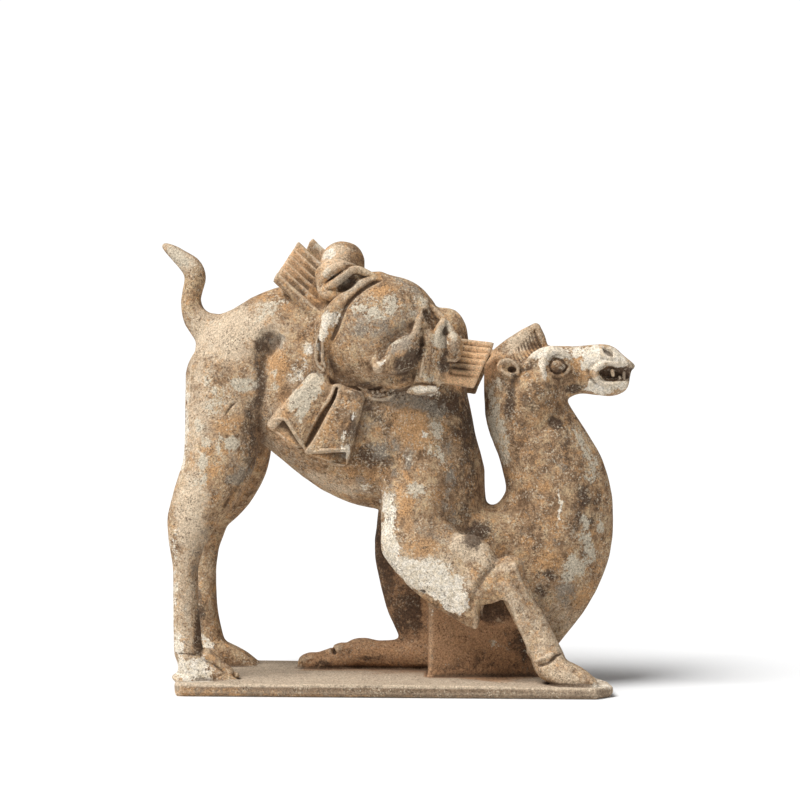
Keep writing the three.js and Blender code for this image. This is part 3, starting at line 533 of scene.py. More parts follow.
def front_knot():
    """Twisted cloth beside the front hump, with a tassel below."""
    add_pair(limb([(21.4, -42.5, 274.4, 2.6), (19.4, -48.6, 267, 2.9), (17.2, -53.6, 259.4, 3.0),
                   (14.9, -57, 251.4, 2.7), (10.6, -60, 246.6, 2.0)]), 0.4)
    carve_pair(limb([(22.6, -52.8, 266.9, 2.8, 6), (26.2, -52.8, 260.2, 3.4, 6.6), (28.4, -53, 254.9, 2.4, 6)]), 1)
    add_pair(limb([(20.6, -40, 273.6, 2.2), (26, -41, 269.4, 2.4), (31.6, -42, 263.8, 2.7), (36.6, -43, 258, 2.9),
                   (40, -44, 252.1, 3.1), (43.5, -44, 247.2, 3.1)]), 0.5)
    add_pair(lump((41.0, -43.4, 243.2), (6.6, 9.0, 10.2), 12), 0.5)
    add_pair(limb([(34.0, -46, 260.2, 2.6), (30.6, -49, 253.6, 3.3), (29.2, -50, 246.6, 3.6),
                   (30.6, -49.6, 240.2, 3.4), (34.0, -47, 235.4, 2.8)]), 0.4)
    carve_pair(limb([(40.2, -50, 256.4, 1.2), (38.6, -51.6, 251.4, 2.0), (36.8, -53, 246.2, 2.1),
                     (35.6, -53, 241.0, 1.2)]), 0.4)
    add_pair(lump((23.6, -50.4, 248.2), (5.4, 5.2, 6.8), 10), 1.5)
    add_pair(lump((36.4, -44, 233.4), (9, 5.5, 4.4), 15), 2)
    add_pair(limb([(21.6, -49.4, 240.4, 4.7), (21.2, -50.2, 229.7, 4.9), (19, -49.8, 219.2, 5.2, 4.6)]), 0.8)
    add_pair(limb([(29.6, -47, 239, 4.0), (29.6, -47.4, 229, 4.3), (28.8, -47, 218.6, 4.5)]), 0.8)
    add_pair(lump((21, -50, 212.8), (9.6, 5.0, 3.5), -2), 0.4)
    for side in (NEAR, FAR):
        groove([(26.4, 240, 0.8), (25.8, 230, 1.2), (25.0, 220, 0.8)], side, 0.5, 1.2)
        groove([(16.4, 240, 0.8), (15.6, 230, 1.3), (13.4, 221, 1.1)], side, 0.5, 1.2)
        groove([(12.4, 216.4, 0.9), (20, 216.6, 1.2), (29, 215.8, 1.0)], side, 0.0, 0.4)
        groove([(13.4, 212.6, 0.6), (21, 213.4, 0.9), (27.4, 212.4, 0.6)], side, 0.1, 0.3)
        groove([(33.0, 231.8, 0.8), (39.6, 230.8, 1.2), (45.4, 233.4, 0.9)], side, 0.4, 1.2)
        ridge([(20.6, 234.6, 0.8), (19.4, 227, 1.0), (18.6, 221, 0.8)], side, 0.4, 0.6)


def rolls():
    """Two flattened rolls below the bag, open at their lower ends."""
    add_pair(bar((-50, -39, 221), (-78.6, -39, 179), 9.2, 15.6, 9.7, 5.0), 0.8)
    add_pair(bar((-31.5, -42, 214), (-49.4, -41, 163.4), 12.2, 16.6, 8.9, 4.6), 0.8)
    add_pair(limb([(-45.6, -43.4, 212, 4.4), (-54.0, -43.4, 192.6, 4.8), (-61.0, -43.4, 176.6, 4.4)]), 1.5)
    carve_pair(bar((-81.6, -53, 187.8), (-64.4, -53, 170.0), 5.6, 0.9, 7.8, 0.8), 0.6)
    carve_pair(bar((-63.4, -54, 166.6), (-33.8, -54, 164.8), 1.0, 4.6, 8.8, 0.8), 0.6)
    carve_pair(limb([(-40.2, -49.4, 213.4, 1.1, 3.4), (-42.7, -49.6, 206.0, 1.8, 4.4), (-48.6, -49.6, 197.2, 2.3, 4.8),
                     (-53.2, -49.4, 189.1, 2.5, 4.8), (-58.5, -49.2, 179.2, 2.5, 4.6), (-64.2, -49, 170.4, 1.8, 4)]), 0.4)
    for side in (NEAR, FAR):
        ridge([(-84.4, 191.6, 0.9), (-76.4, 192.0, 1.2), (-69.6, 182.4, 1.2), (-62.8, 171.6, 1.0)], side, 0.4, 0.8)
        ridge([(-63.4, 169.0, 0.9), (-51.5, 170.2, 1.2), (-41, 170.6, 1.2), (-34, 170.6, 1.0)], side, 0.4, 0.8)
        ridge([(-82.4, 183.4, 0.8), (-75.4, 176.8, 0.9), (-68.4, 170.4, 0.8)], side, 0.3, 0.6)
        ridge([(-58.0, 162.6, 0.8), (-46.0, 160.4, 0.9), (-36.0, 159.6, 0.9)], side, 0.3, 0.6)
        groove([(-60, 222, 0.8), (-69, 209, 1.2), (-79, 196, 1.2)], side, 0.8, 1.5)


def load():
    bag()
    rear_knot()
    rolls()
    flask()
    front_knot()


# Legs, tail and body

def tail():
    add(limb([(-136, 0, 255.5, 11, 10), (-144.4, 0, 264.5, 10, 8), (-149.3, 0, 274, 7.4, 7),
              (-149.5, 0, 281, 6.6, 6.5), (-147, 0, 292, 6.9, 6.5), (-148.8, 0, 300.5, 6.8, 6.5),
              (-155.5, 0, 306.5, 5.6, 5.5), (-163, 0, 312.5, 4, 4), (-168.8, 0, 316.6, 1.9, 2.2)]), 4)


def humps():
    add(limb([(-44, 0, 270, 24, 24), (-42, 0, 288, 16, 16), (-40, 0, 304, 14.6, 14)]), 6)
    add(limb([(33, 0, 232, 20, 20), (37, 0, 246, 13, 13), (37.5, 0, 258.5, 11.6, 12)]), 6)
    carve(limb([(36.8, 0, 279.8, 8, 20), (46.3, 0, 275.7, 8, 20), (53.4, 0, 267.0, 8, 20), (57.2, 0, 257.4, 8, 20),
                (59.0, 0, 247, 8, 20)]), 1.5)


def back():
    """The straight line of the back from the tail up to the rear boards."""
    carve(limb([(-133.5, 0, 277.6, 9.4, 30), (-123.6, 0, 285.6, 16.6, 34), (-115.0, 0, 293.8, 18.8, 38),
                (-106.6, 0, 298.2, 19, 38), (-98, 0, 302.2, 19, 38), (-90, 0, 306, 19, 36)]), 2)


def flank():
    for side in (NEAR, FAR):
        ridge([(-144.0, 240.0, 0.8), (-145.6, 226.7, 1.0), (-146.6, 205.4, 1.0), (-146.8, 184.0, 0.8)], side, 0.1, 0.8)
        groove([(-99.0, 165.0, 1.4), (-103.0, 156.0, 2.0), (-109.4, 145.0, 2.2), (-118.6, 131.0, 2.0),
                (-125.6, 113.3, 1.4)], side, 1.0, 3)
        carve(laid([(-93, 251, 3), (-85, 247.6, 4.4), (-90, 240, 3.4)], side, 2.2), 3)
        groove([(-93.6, 236, 2), (-94, 226, 2.4), (-94.6, 212, 2.4), (-96, 198, 2), (-96.8, 184, 1.4)],
               side, 1.6, 3)
        groove([(-120.6, 193.6, 0.6), (-117.6, 198.3, 1.1), (-114.0, 202.6, 0.9), (-111.2, 204.0, 0.5)], side, 0.1, 0.4)


def fringe():
    """The hair on the near forearm, which ends in a point before the support."""
    add(limb([(8, -38, 104, 17, 9), (18, -40, 86, 13, 7), (32, -41, 73, 12, 6), (46, -42, 61, 9, 5),
              (54, -42, 52, 5, 4)]), 4)
    add(limb([(44, -42, 103, 7, 8), (53, -42.5, 103, 8.5, 8.5), (62, -42.5, 94, 9, 8.8), (57, -42.5, 81, 9, 8.8),
              (51, -42, 68, 8, 8)]), 4)
    add(limb([(54, -44, 64, 4, 4.6), (55.5, -44, 54, 3.4, 4), (56, -44, 47.6, 2, 2.6)]), 1.5)
    carve(limb([(43, -53, 115.6, 3.0), (52.6, -54, 117.6, 4.0), (61.4, -54, 113.6, 4.4), (70.4, -54, 106.6, 4.2),
                (76.0, -54, 101.4, 2.2)]), 2)
    carve(laid([(69.4, 90.0, 1.4), (63.8, 84.1, 2.8), (58.6, 75.8, 3.0), (54.6, 66.7, 2.6),
                (52.0, 58.4, 1.6)], NEAR, 1.0), 2.5)
    carve(bar((70.6, -40, 65.0), (89.6, -40, 27), 7.6, 4.6, 23, 5), 1)
    carve(bar((69.6, -40, 62.0), (64, -40, 42), 7.0, 6.0, 23, 4), 1)
    groove([(18.6, 72.6, 1.0), (20.4, 72, 1.3)], NEAR, -0.6, 0.6)


def knee():
    """The near knee and shin, flat in front, with the tendon drawn down to the ankle."""
    add(lump((79.4, -42.6, 87), (11.4, 8.6, 9.8), 24), 3)
    ridge([(83, 91, 1.0), (88.0, 78, 1.4), (92.4, 67, 1.2)], NEAR, 0.4, 2)
    groove([(88, 76, 0.8), (91, 66, 1.2), (96, 54, 1.0)], NEAR, 1.0, 2)


def near_foot():
    add(limb([(84, -41, 72, 10.4, 10), (89.5, -41, 60.5, 10.2, 10), (97, -41, 47.4, 10.4, 10), (103.6, -42, 35, 9.8, 10),
              (107, -43, 25, 11.1, 10.5)]), 2)
    for splay in (-1, 1):
        add(limb([(107, -43 + splay * 3, 21, 10, 9), (117, -45 + splay * 5, 15.5, 8.6, 8),
                  (127, -46 + splay * 6, 12.5, 7, 7), (137, -47 + splay * 7, 9, 3.6, 5)]), 1.6)
    ridge([(98.4, 24.6, 1.0), (103.4, 26.8, 1.6), (109, 29.4, 1.8), (116.4, 33.0, 1.6)], NEAR, 0.3, 1)
    groove([(99.4, 21.0, 0.9), (103.6, 22.6, 1.4), (107.6, 24.4, 1.5), (112.0, 28.2, 1.5), (116.0, 29.4, 0.9)],
           NEAR, 0.3, 0.6)
    groove([(124, 17.4, 0.6), (130, 14.4, 1.0), (136, 11.6, 0.7)], NEAR, 0.3, 0.5)
    groove([(127, 10.2, 0.6), (134, 9.8, 0.9), (139, 9.4, 0.6)], NEAR, 0.2, 0.4)


def hind_feet():
    """Each hind foot flares to the slab, its toes split in front."""
    for side in (NEAR, FAR):
        carve(limb([(-158.6, side * 66, 18.6, 5.0), (-158.4, side * 14, 18.6, 5.0)]), 3)
        add(lump((-146, side * 45, 11.0), (10.4, 11, 4.0)), 3)
    carve(limb([(-129.0, -57, 29.0, 3.6, 10), (-123.4, -57, 22.0, 4.8, 10.4), (-116.6, -57, 15.6, 5.6, 11),
                (-108.6, -57, 13.0, 5.6, 12)]), 0.6)
    add(limb([(-133, -39, 25.0, 5.6, 6.4), (-124.6, -39, 18.6, 4.4, 6), (-117.0, -39.4, 14.2, 3.4, 5)]), 1)
    add(lump((-116.4, -41.6, 12.8), (3.2, 3.6, 2.8), -20), 0.3)
    add(lump((-112.6, -38.6, 11.4), (3.0, 3.4, 2.6), -10), 0.3)
    groove([(-129, 21.6, 0.6), (-122, 16.4, 1.0), (-117, 13.2, 0.8)], NEAR, 0.2, 0.4)
    groove([(-153.6, 27.2, 0.7), (-147, 27.8, 1.1), (-139, 27.0, 1.0), (-134.6, 27.0, 0.7)], NEAR, 0.3, 0.8)
    groove([(-126.4, 10.6, 0.6), (-123, 12.6, 0.9), (-119.6, 13.6, 0.6)], NEAR, 0.2, 0.4)


def folded_foot():
    """The far forefoot lies back along the slab, its toes to the rear."""
    add(lump((-66, 26, 14.6), (9, 9, 5.6), 8), 2)
    add(lump((-45, 26, 22.6), (6.4, 8, 4.4), 20), 2)
    carve(limb([(-50.6, 18, 24.6, 1.6, 12), (-47.6, 18, 20.6, 1.4, 12)]), 1)
    carve(limb([(-73, 15.5, 13.6, 0.9), (-66, 16.5, 14.8, 1.3), (-59, 17.5, 17.6, 0.9)]), 0.6)
    carve(limb([(-61.6, 17, 10.2, 0.9), (-57, 17, 14.2, 1.2), (-53.6, 17, 17.4, 0.8)]), 0.6)


def slab():
    """The slab's lower edge is worn round, which leaves a shadow under it."""
    carve(limb([(-148, -66.4, -0.4, 3.4), (141, -66.4, -0.4, 3.4), (152.8, -52.8, -0.4, 3.4),
                (150.6, -26, -0.4, 3.2)], 1), 1)
    carve(limb([(-153.8, -58, -0.4, 3.4), (-153.8, 58, -0.4, 3.4)], 1), 1)
    add(limb([(-62, -64.0, 8.4, 0.9), (-20, -64.2, 8.3, 1.0), (30, -64.2, 8.0, 1.1), (84, -64.0, 7.7, 0.9)]), 1.5)
    carve(limb([(-20, -65.6, 7.6, 0.9), (-14, -65.4, 7.8, 1.4), (-9, -65.6, 7.4, 0.9)]), 0.8)
    carve(limb([(6, -66, 3.8, 0.9), (10, -65.8, 4.0, 1.5), (14, -66, 3.8, 0.9)]), 0.6)


def carving():
    tail()
    humps()
    back()
    flank()
    fringe()
    knee()
    near_foot()
    hind_feet()
    folded_foot()
    slab()
    head()
    boards()
    load()


def skin_mesh(name):
    """The skin of the distance field as a mesh of squares."""
    grid = vdb.FloatGrid(background=float(field.max()))
    grid.copyFromArray(field, ijk=tuple(int(v) for v in ORIGIN), tolerance=0.0)
    grid.transform = vdb.createLinearTransform(voxelSize=CELL)
    points, _, squares = grid.convertToPolygons(isovalue=0.0, adaptivity=0.0)
    corners = squares[:, ::-1].astype(np.int32)
    mesh = bpy.data.meshes.new(name)
    mesh.vertices.add(len(points))
    mesh.vertices.foreach_set("co", (points * MM).astype(np.float32).ravel())
    mesh.loops.add(corners.size)
    mesh.loops.foreach_set("vertex_index", corners.ravel())
    mesh.polygons.add(len(corners))
    mesh.polygons.foreach_set("loop_start", np.arange(0, corners.size, 4, dtype=np.int32))
    mesh.polygons.foreach_set("loop_total", np.full(len(corners), 4, np.int32))
    mesh.update(calc_edges=True)
    mesh.validate()
    piece = bpy.data.objects.new(name, mesh)
    bpy.context.scene.collection.objects.link(piece)
    return piece


def vertex_places(mesh):
    places = np.empty(len(mesh.vertices) * 3, np.float32)
    mesh.vertices.foreach_get("co", places)
    return places.reshape(-1, 3) / MM


def vertex_normals(mesh):
    normals = np.empty(len(mesh.vertices) * 3, np.float32)
    mesh.vertex_normals.foreach_get("vector", normals)
    return normals.reshape(-1, 3)


def thin_out(piece, target):
    """The same skin with fewer triangles."""
    modifier = piece.modifiers.new("thin", "DECIMATE")
    modifier.ratio = target / (2 * len(piece.data.polygons))
    modifier.use_collapse_triangulate = True
    graph = bpy.context.evaluated_depsgraph_get()
    mesh = bpy.data.meshes.new_from_object(piece.evaluated_get(graph))
    piece.modifiers.clear()
    piece.data = mesh
    mesh.validate()
    mesh.shade_smooth()


def sampled(values, places):
    """The values of a grid at places between its cells."""
    spot = places / CELL - ORIGIN
    corner = np.floor(spot).astype(int)
    corner = np.clip(corner, 0, np.array(values.shape) - 2)
    part = spot - corner
    total = np.zeros(len(places), np.float32)
    for n in range(8):
        step = np.array([n & 1, n >> 1 & 1, n >> 2 & 1])
        weight = np.prod(np.where(step, part, 1 - part), axis=1)
        total += weight * values[tuple((corner + step).T)]
    return total


def lattice_noise(places, size, seed):
    """Smooth values between -1 and 1 that change over that many millimetres."""
    count = 32
    lattice = np.random.default_rng(seed).uniform(-1, 1, (count, count, count))
    spot = places / size
    corner = np.floor(spot).astype(int)
    part = spot - corner
    part = part * part * (3 - 2 * part)
    total = np.zeros(len(places))
    for n in range(8):
        step = np.array([n & 1, n >> 1 & 1, n >> 2 & 1])
        weight = np.prod(np.where(step, part, 1 - part), axis=1)
        total += weight * lattice[tuple(((corner + step) % count).T)]
    return total


def roughen(mesh):
    """Small unevenness of hand-pressed clay. The underside stays flat."""
    places, normals = vertex_places(mesh), vertex_normals(mesh)
    height = (0.30 * lattice_noise(places, 17, 1) + 0.16 * lattice_noise(places, 7, 2)
              + 0.10 * lattice_noise(places, 3.2, 3))
    height *= ramp(places[:, 2], 1, 3)
    places = places + normals * height[:, None]
    places[:, 2] = np.maximum(places[:, 2], 0)
    mesh.vertices.foreach_set("co", (places * MM).astype(np.float32).ravel())
    mesh.update()


# Where the coats of colour lie, painted light and shade among them. A patch is its middle x and z, its half-widths, the
# turn of its first axis in degrees and its strength, as seen from the near side.
PATCHES = {
    "pale": [
        (52, 102, 14, 8.5, -10, 0.85), (44, 107, 7.5, 5, 20, 1), (64, 92, 7, 10, 20, 0.55),
        (55, 77, 5.5, 8.5, 15, 0.55), (77, 89, 7.5, 5.5, 0, 0.62), (82, 68, 8.5, 12.5, 30, 0.55),
        (105, 38, 8.5, 15.5, 30, 0.5), (117, 14, 17, 7.5, -15, 0.78), (84, 57, 3.5, 8.5, 30, 0.6),
        (-118, 252, 40, 22, 0, 0.85), (-140, 200, 14, 50, 0, 0.6), (-148, 60, 14, 70, 0, 0.6),
        (20, 95, 44, 24, -20, 0.5), (-10, 270, 30, 16, 0, 0.3), (-79, 306, 16, 2.5, 61, 0.9),
        (88, 248, 14, 7, 38, 0.9), (-143, 128, 13, 34, 0, 0.9), (-45, 147, 26, 7, -15, 0.8), (-131, 64, 4, 26, 0, 0.6), (-156, 308, 16, 8, -38, 1.0),
        (-46, 306, 13, 13, 0, 0.9), (-100, 195, 45, 50, 0, 0.4), (0, 200, 40, 30, 0, 0.3), (110, 40, 30, 40, 45, 0.5),
    ],
    "grey": [
        (-5, 270, 18, 7, 0, 0.6), (-58, 215, 6.5, 10, -25, 1.25), (-66, 203, 7.5, 8.5, 0, 1.25), (-160, 310, 14, 5, -38, 0.8),
        (-111, 217, 8.5, 5.5, 0, 0.8), (-115, 174, 6.5, 5.5, 0, 1.05), (-135, 160, 4, 5.5, 0, 1),
        (-122, 177, 3.5, 3.5, 0, 0.75), (-123, 168, 3.5, 3.5, 0, 0.75), (-132, 173, 3, 4, 0, 0.7),
        (-141, 147, 5.5, 3, 0, 0.7), (-134, 149, 3.5, 3, 0, 0.8), (-139, 188, 3, 5.5, 0, 0.7),
        (-132, 219, 4, 4, 0, 0.65), (-86, 214, 3.5, 4, 0, 0.8), (-127, 205, 5.5, 11.5, -20, 0.6),
        (-129, 263, 8.5, 4, 0, 0.45), (-92, 267, 17, 5, 25, 0.5), (-143, 303, 8.5, 10, -45, 0.4),
        (-87, 224, 4, 3, 0, 0.5), (29, 184, 5.5, 5, 0, 1), (23, 170, 7, 5.5, 0, 0.75),
        (31, 167, 5.5, 4, 0, 0.65), (15, 142, 6.5, 6.5, 0, 0.8), (132, 171, 5, 14, 25, 0.62),
        (138, 155, 5.5, 8.5, 0, 0.6), (133, 113, 5.5, 15.5, 0, 0.6), (125, 87, 7.5, 11, -35, 0.85),
        (138, 95, 5, 8.5, 0, 0.6), (145, 116, 3, 6.5, 0, 0.7), (115, 159, 3, 3.5, 0, 0.6),
        (71, 186, 6.5, 17, 0, 0.75), (76, 169, 4.5, 10, 0, 0.6), (69, 208, 5, 14, 0, 0.6),
        (-23, 267, 14, 5.5, 0, 0.6), (0, 244, 5.5, 3, 35, 0.55), (32, 249, 4, 7, 0, 1.2),
        (41, 250, 3.5, 4, 0, 0.95), (36, 257, 4, 4, -20, 1.1), (28, 249, 4, 4, 0, 0.65),
        (20, 273, 3.5, 5.5, 0, 0.7), (25, 221, 6.5, 3.5, 0, 0.6), (-46, 294, 5.5, 5.5, 40, 0.75),
    ],
    "slip": [
        (141, 235, 8.5, 9.5, 0, 1.25), (146, 215, 12, 5.5, 0, 1.2), (156, 235, 9, 7, -20, 1.15),
        (159, 217, 6.5, 5.5, 0, 0.95), (104, 238, 11, 4.2, 22, 1.2), (116, 239, 8, 3.4, -10, 1.1),
        (127, 241, 10.5, 4.5, 0, 0.6), (104, 228, 3, 8, 0, 1.05),
        (112, 135, 3, 3.5, 0, 1),
        (117, 131, 3, 2, 0, 0.9), (114, 123, 1.5, 7, 0, 0.7), (90, 169, 4, 2, 0, 0.5),
        (-5, 127, 5.5, 18, 0, 0.8),
        (-3, 102, 8.5, 17, 8, 1.2), (12, 85, 17, 10, -28, 1.25), (31, 78, 18, 12.5, -35, 1.15),
        (43, 63, 8.5, 10.5, -30, 1.1), 
        
        (-35, 193, 5, 3.5, 20, 0.7), (-45, 261, 6.5, 5.5, 0, 1.1), (-47, 250, 3.5, 5.5, 0, 1.05),
        (-53, 239, 1.5, 8.5, 0, 0.8), (-34, 277, 5, 2, 35, 0.6), 
        (-50, 308, 6.5, 3.5, 30, 1.1), 
        (21, 213, 9, 3, 0, 0.95),
        (-10, 229, 3, 3, 0, 0.6),
        (-62, 244, 6.5, 6.5, 0, 0.8), (-67, 224, 8.5, 8.5, 0, 0.55),
        (-150, 184, 3, 42.5, 0, 0.6), 
        (21, 182, 2, 2, 0, 0.9), (6, 167, 2, 5.5, 0, 0.5), (-23, 144, 5.5, 4, 0, 0.6),
        (-20, 137, 3.5, 2, 0, 0.7), (-34, 169, 4, 5, 0, 0.75), (-30, 195, 4, 3.5, 0, 0.7),
        (-141, 17, 15, 9.5, -10, 0.8), (-152, 33, 4, 10, 0, 0.75), (-154, 64, 3.5, 28, 0, 0.55),
        (-155, 103, 3.5, 14, 0, 0.5), (143, 8, 8.5, 2, 0, 0.5),
    ],
    "iron": [
        (-83, 230, 8.5, 18.5, 0, 0.9), (-78, 208, 8.5, 8.5, 0, 0.6), (-117, 188, 10.5, 8, 0, 0.95),
        (-131, 167, 4, 5.5, 0, 0.8), (-128, 156, 7, 5.5, 0, 0.7), (-94, 150, 4, 15.5, -25, 0.6),
        (-102, 244, 8.5, 5.5, 0, 0.45), (-114, 230, 7, 5.5, 0, 0.4), (9, 189, 15.5, 11, 0, 1),
        (12, 176, 10, 8.5, 0, 0.9), (-23, 156, 21, 10, 0, 0.6), (5, 134, 6.5, 12.5, 0, 0.75),
        (20, 103, 14, 6.5, 0, 0.95), (9, 114, 5.5, 8.5, 0, 0.6), (31, 139, 7, 7, 0, 0.5),
        (40, 133, 4, 5.5, 0, 0.55), (-46, 149, 14, 8.5, 0, 0.4), (108, 92, 10.5, 7.5, 0, 0.95),
        (113, 115, 6.5, 12.5, 0, 0.7), (104, 144, 7, 5, 0, 0.7), (86, 153, 12, 4, -5, 0.85),
        (145, 103, 4, 4, 0, 0.8), (133, 66, 5.5, 17, -30, 0.7), (144, 138, 5.5, 8.5, 0, 0.6),
        (129, 230, 7, 9.5, 0, 1.1), (105, 221, 3, 5, 0, 0.9), (87, 202, 7, 12.5, 0, 0.5),
        (110, 204, 8.5, 7, 0, 0.6), (98, 191, 10, 5.5, 0, 0.5), (-10, 280, 10, 4.4, 10, 1.1),
        (-13, 244, 12.5, 4, 0, 0.6), (-43, 246, 5, 8.5, 0, 0.9), (-34, 275, 8.5, 3.5, 35, 0.5),
        (-2, 267, 3, 9.5, 0, 0.5), (-27, 237, 9.5, 5.5, 0, 0.4), (-67, 186, 8.5, 7, 0, 0.5),
        (-48, 191, 6.5, 18.5, -22, 0.8), (-76, 177, 7, 3.5, -40, 0.9), (-52, 166, 12.5, 3, 0, 0.8),
        (-78, 197, 5.5, 5.5, 0, 0.7), (-53, 277, 12.5, 5, 0, 1.1), (-58, 314, 7, 5.5, 0, 1.2),
        (52, 239, 14, 8.5, 0, 0.9), (45, 221, 14, 4, 0, 0.85), (-67, 300, 14, 15.5, -30, 0.55),
        (26, 260, 4, 5.5, 0, 0.8), (0, 214, 14, 3, 20, 0.6), (37, 263, 7, 4, 0, 0.4),
        (-35, 307, 8.5, 5.5, 0, 0.4), (-150, 1, 10, 4, 0, 0.7), (31, 2, 12.5, 3, 0, 0.5),
        (-141, 43, 3.5, 18.5, 0, 0.6),
    ],
    "bisque_and_painted_light": [
        # The two patches on the front board are painted light that brightens its face; the others give the clay's pale
        # orange.
        (60, 233, 12, 17, 0, 0.85), (50, 221, 15, 5, 0, 1.6), (-76, 303, 13, 15, -30, 0.65), (-46, 304, 13, 12, 0, 0.5),
        (-82, 181, 10, 8, -40, 0.6),
    ],
    "ash": [
        (9, 283, 12, 6, -30, 0.65),
        (-84, 249, 4.5, 4.5, 0, 1.5), (-89, 245, 3.5, 3.5, 0, 0.9), (-110, 153, 10, 3.5, 30, 1),
        (-102, 216, 4, 4, 0, 0.7), (-111, 215, 6.5, 5.5, 0, 0.45), (-114, 186, 3.5, 3, 0, 0.6),
        (-1, 205, 8.5, 5.5, 0, 0.9), (19, 204, 12.5, 5.5, 0, 0.9), (29, 197, 7, 5.5, 0, 0.8),
        (29, 189, 5, 5.5, 0, 0.5), (-10, 169, 5, 7, 0, 0.8), (-1, 173, 4, 3, 0, 0.9),
        (7, 165, 3, 8.5, 0, 0.8), (40, 153, 3.5, 9, 0, 1), (38, 170, 5.5, 7, 0, 0.45),
        (-1, 156, 3, 5.5, 0, 0.8), (-19, 184, 4, 5.5, 0, 0.5), (38, 135, 4, 7, 0, 0.6),
        (41, 121, 5, 7, 0, 0.5), (-25, 148, 4, 5.5, 0, 0.6), (-26, 142, 4, 3.5, 0, 0.6),
        (-13, 258, 23.5, 18, 0, 0.62), (6, 243, 11, 4.4, 41, 0.9), (-30, 286, 6.5, 4, 20, 1.3),
        (12, 267, 7, 14, 0, 0.5), (-24, 268, 15.5, 7, 0, 0.5), (133, 112, 5.5, 15.5, 0, 0.6),
        (117, 159, 4, 5.5, 0, 0.6), (119, 71, 7.5, 9, -20, 0.8), (113, 103, 5.5, 4, 0, 0.6),
        (124, 85, 5.5, 8.5, -30, 0.5), (133, 99, 4, 4, 0, 0.5), (116, 135, 3, 5.5, 0, 0.5),
        (-2, 135, 4, 12.5, 0, 0.8), (-124, 205, 4, 5.5, 0, 0.6), (-136, 103, 4, 21, 0, 0.2),
        (-144, 71, 3.5, 21, 0, 0.2), (166, 231, 3.5, 3.5, 0, 0.7),
        (156, 215, 5.5, 3.5, 0, 0.45), (80, 216, 4.5, 5.5, 0, 0.4), (-37, 307, 3, 2, 0, 0.3),
    ],
    # Dark brown patches, partly dark stains and partly painted shade: they darken the flank groove, the hollows under
    # the load, the shadow the load casts on the torso, the shaded lower side of the flask, the shaded facet of the near
    # shin and the hollow by the eye.
    "soot_and_shade": [
        (112, 150, 46, 66, 0, 0.25), (45, 152, 16, 38, 0, 0.35), (-95, 243, 4.5, 7, 0, 0.85),
        (-96, 214, 5, 24, 0, 0.75), (101, 206, 15, 12, 0, 0.5), (-17, 165, 15, 11, 0, 0.8), (20, 109, 14, 8, 0, 0.3),
        (-103, 188, 6.5, 17, 0, 0.6),
        (-101, 169, 8.5, 12.5, 0, 0.55), (-92, 251, 5, 4, 25, 0.95), (-134, 184, 2, 7, 0, 0.3),
        (33, 204, 14, 8.5, 0, 1.15), (-10, 208, 9.5, 5.5, 0, 0.8), (-32, 183, 4, 15.5, -15, 0.85),
        (-14, 197, 7, 10, 0, 0.7), (-7, 188, 7, 8.5, 0, 0.5), (48, 188, 6.5, 21, 12, 0.85),
        (52, 156, 5.5, 28, 5, 0.6), (58, 112, 10, 6.5, 35, 1.1), (50, 125, 5, 14, 0, 0.6),
        (81, 207, 3.5, 17, 0, 0.9), (112, 188, 5.5, 4, 0, 1.3), (119, 176, 3.5, 8.5, 0, 0.7),
        (132, 137, 6.5, 8.5, 0, 0.95), (142, 135, 5, 6.5, 0, 0.7), (127, 123, 3.5, 7, 0, 0.85),
        (137, 120, 5, 4, 0, 0.85), (110, 82, 7.5, 3.5, 0, 0.85), (101, 68, 4, 5, 0, 0.9),
        (132, 97, 4, 2, 0, 0.8), (124, 215, 8, 3.5, 0, 1.1), (126, 224, 7, 6, 0, 0.5), (93, 228, 7, 2, 15, 0.7),
        (87, 188, 7, 5.5, 0, 0.6), (75, 216, 4.5, 5.5, 0, 0.5), (10, 232, 11, 5.6, 30, 1.7), (114.5, 229.5, 4.5, 4, 0, 0.8), (42, 240, 5, 8, 0, 0.6),
        (0, 221, 14, 3.5, 10, 0.7), (23, 262, 3, 7, 0, 0.9), (34, 230, 3, 10, 0, 1),
        (-31, 290, 5.5, 3.5, 35, 0.9), (18, 247, 3, 8.5, 0, 0.6), (-20, 214, 9.5, 3, 0, 0.7),
        (-67, 191, 3.5, 2, 0, 0.3), (-58, 186, 7, 8.5, 0, 0.35), (-132, 114, 5.5, 10, 0, 0.25),
        (-140, 89, 3, 18.5, 0, 0.35), (-138.6, 42, 4.6, 17, 0, 0.95), (2, 281, 3.5, 2, 0, 0.3),
        (64, 209, 3, 21, 0, 0.5), (-106, 244, 5.5, 3.5, 0, 0.35),
    ],
}
BARE = [(20, 117, 19, 17, 0, 1.0), (3, 79, 16, 2.8, -54, 1.0), (29, 61, 22, 2.8, -31, 1.0)]
BLOCK = {
    "grey": [(51, 31, 3.5, 3.5, 0, 0.9), (59, 35, 8, 2, 5, 0.9), (71, 30, 6.5, 2, -30, 0.8), (66, 33, 10, 3, -15, 0.6)],
    # Painted shade on the support block: under the chest, beside the leg and along its foot on the slab.
    "soot_and_shade": [(88, 28, 7, 18.5, 30, 0.6), (65, 55, 15.5, 8.5, 0, 0.9), (58, 15, 35.5, 3, 0, 0.5)],
}
CLEAN = [(150, 226, 22, 18, 0, 1.0), (108, 238, 16, 5, 10, 0.6)]
# Painted shade on the far side's inner legs and belly, and along the slab beneath them.
INNER_SHADE = [
    (-11, 89, 9, 44, 5, 0.8), (4, 52, 13, 19, 0, 0.85), (13, 49, 4.5, 16, 0, 1),
    (-18, 18, 7.5, 3.5, 0, 0.7), (-55, 13, 7.5, 3, 0, 0.8), (-40, 23, 4.5, 3, 0, 0.5),
]


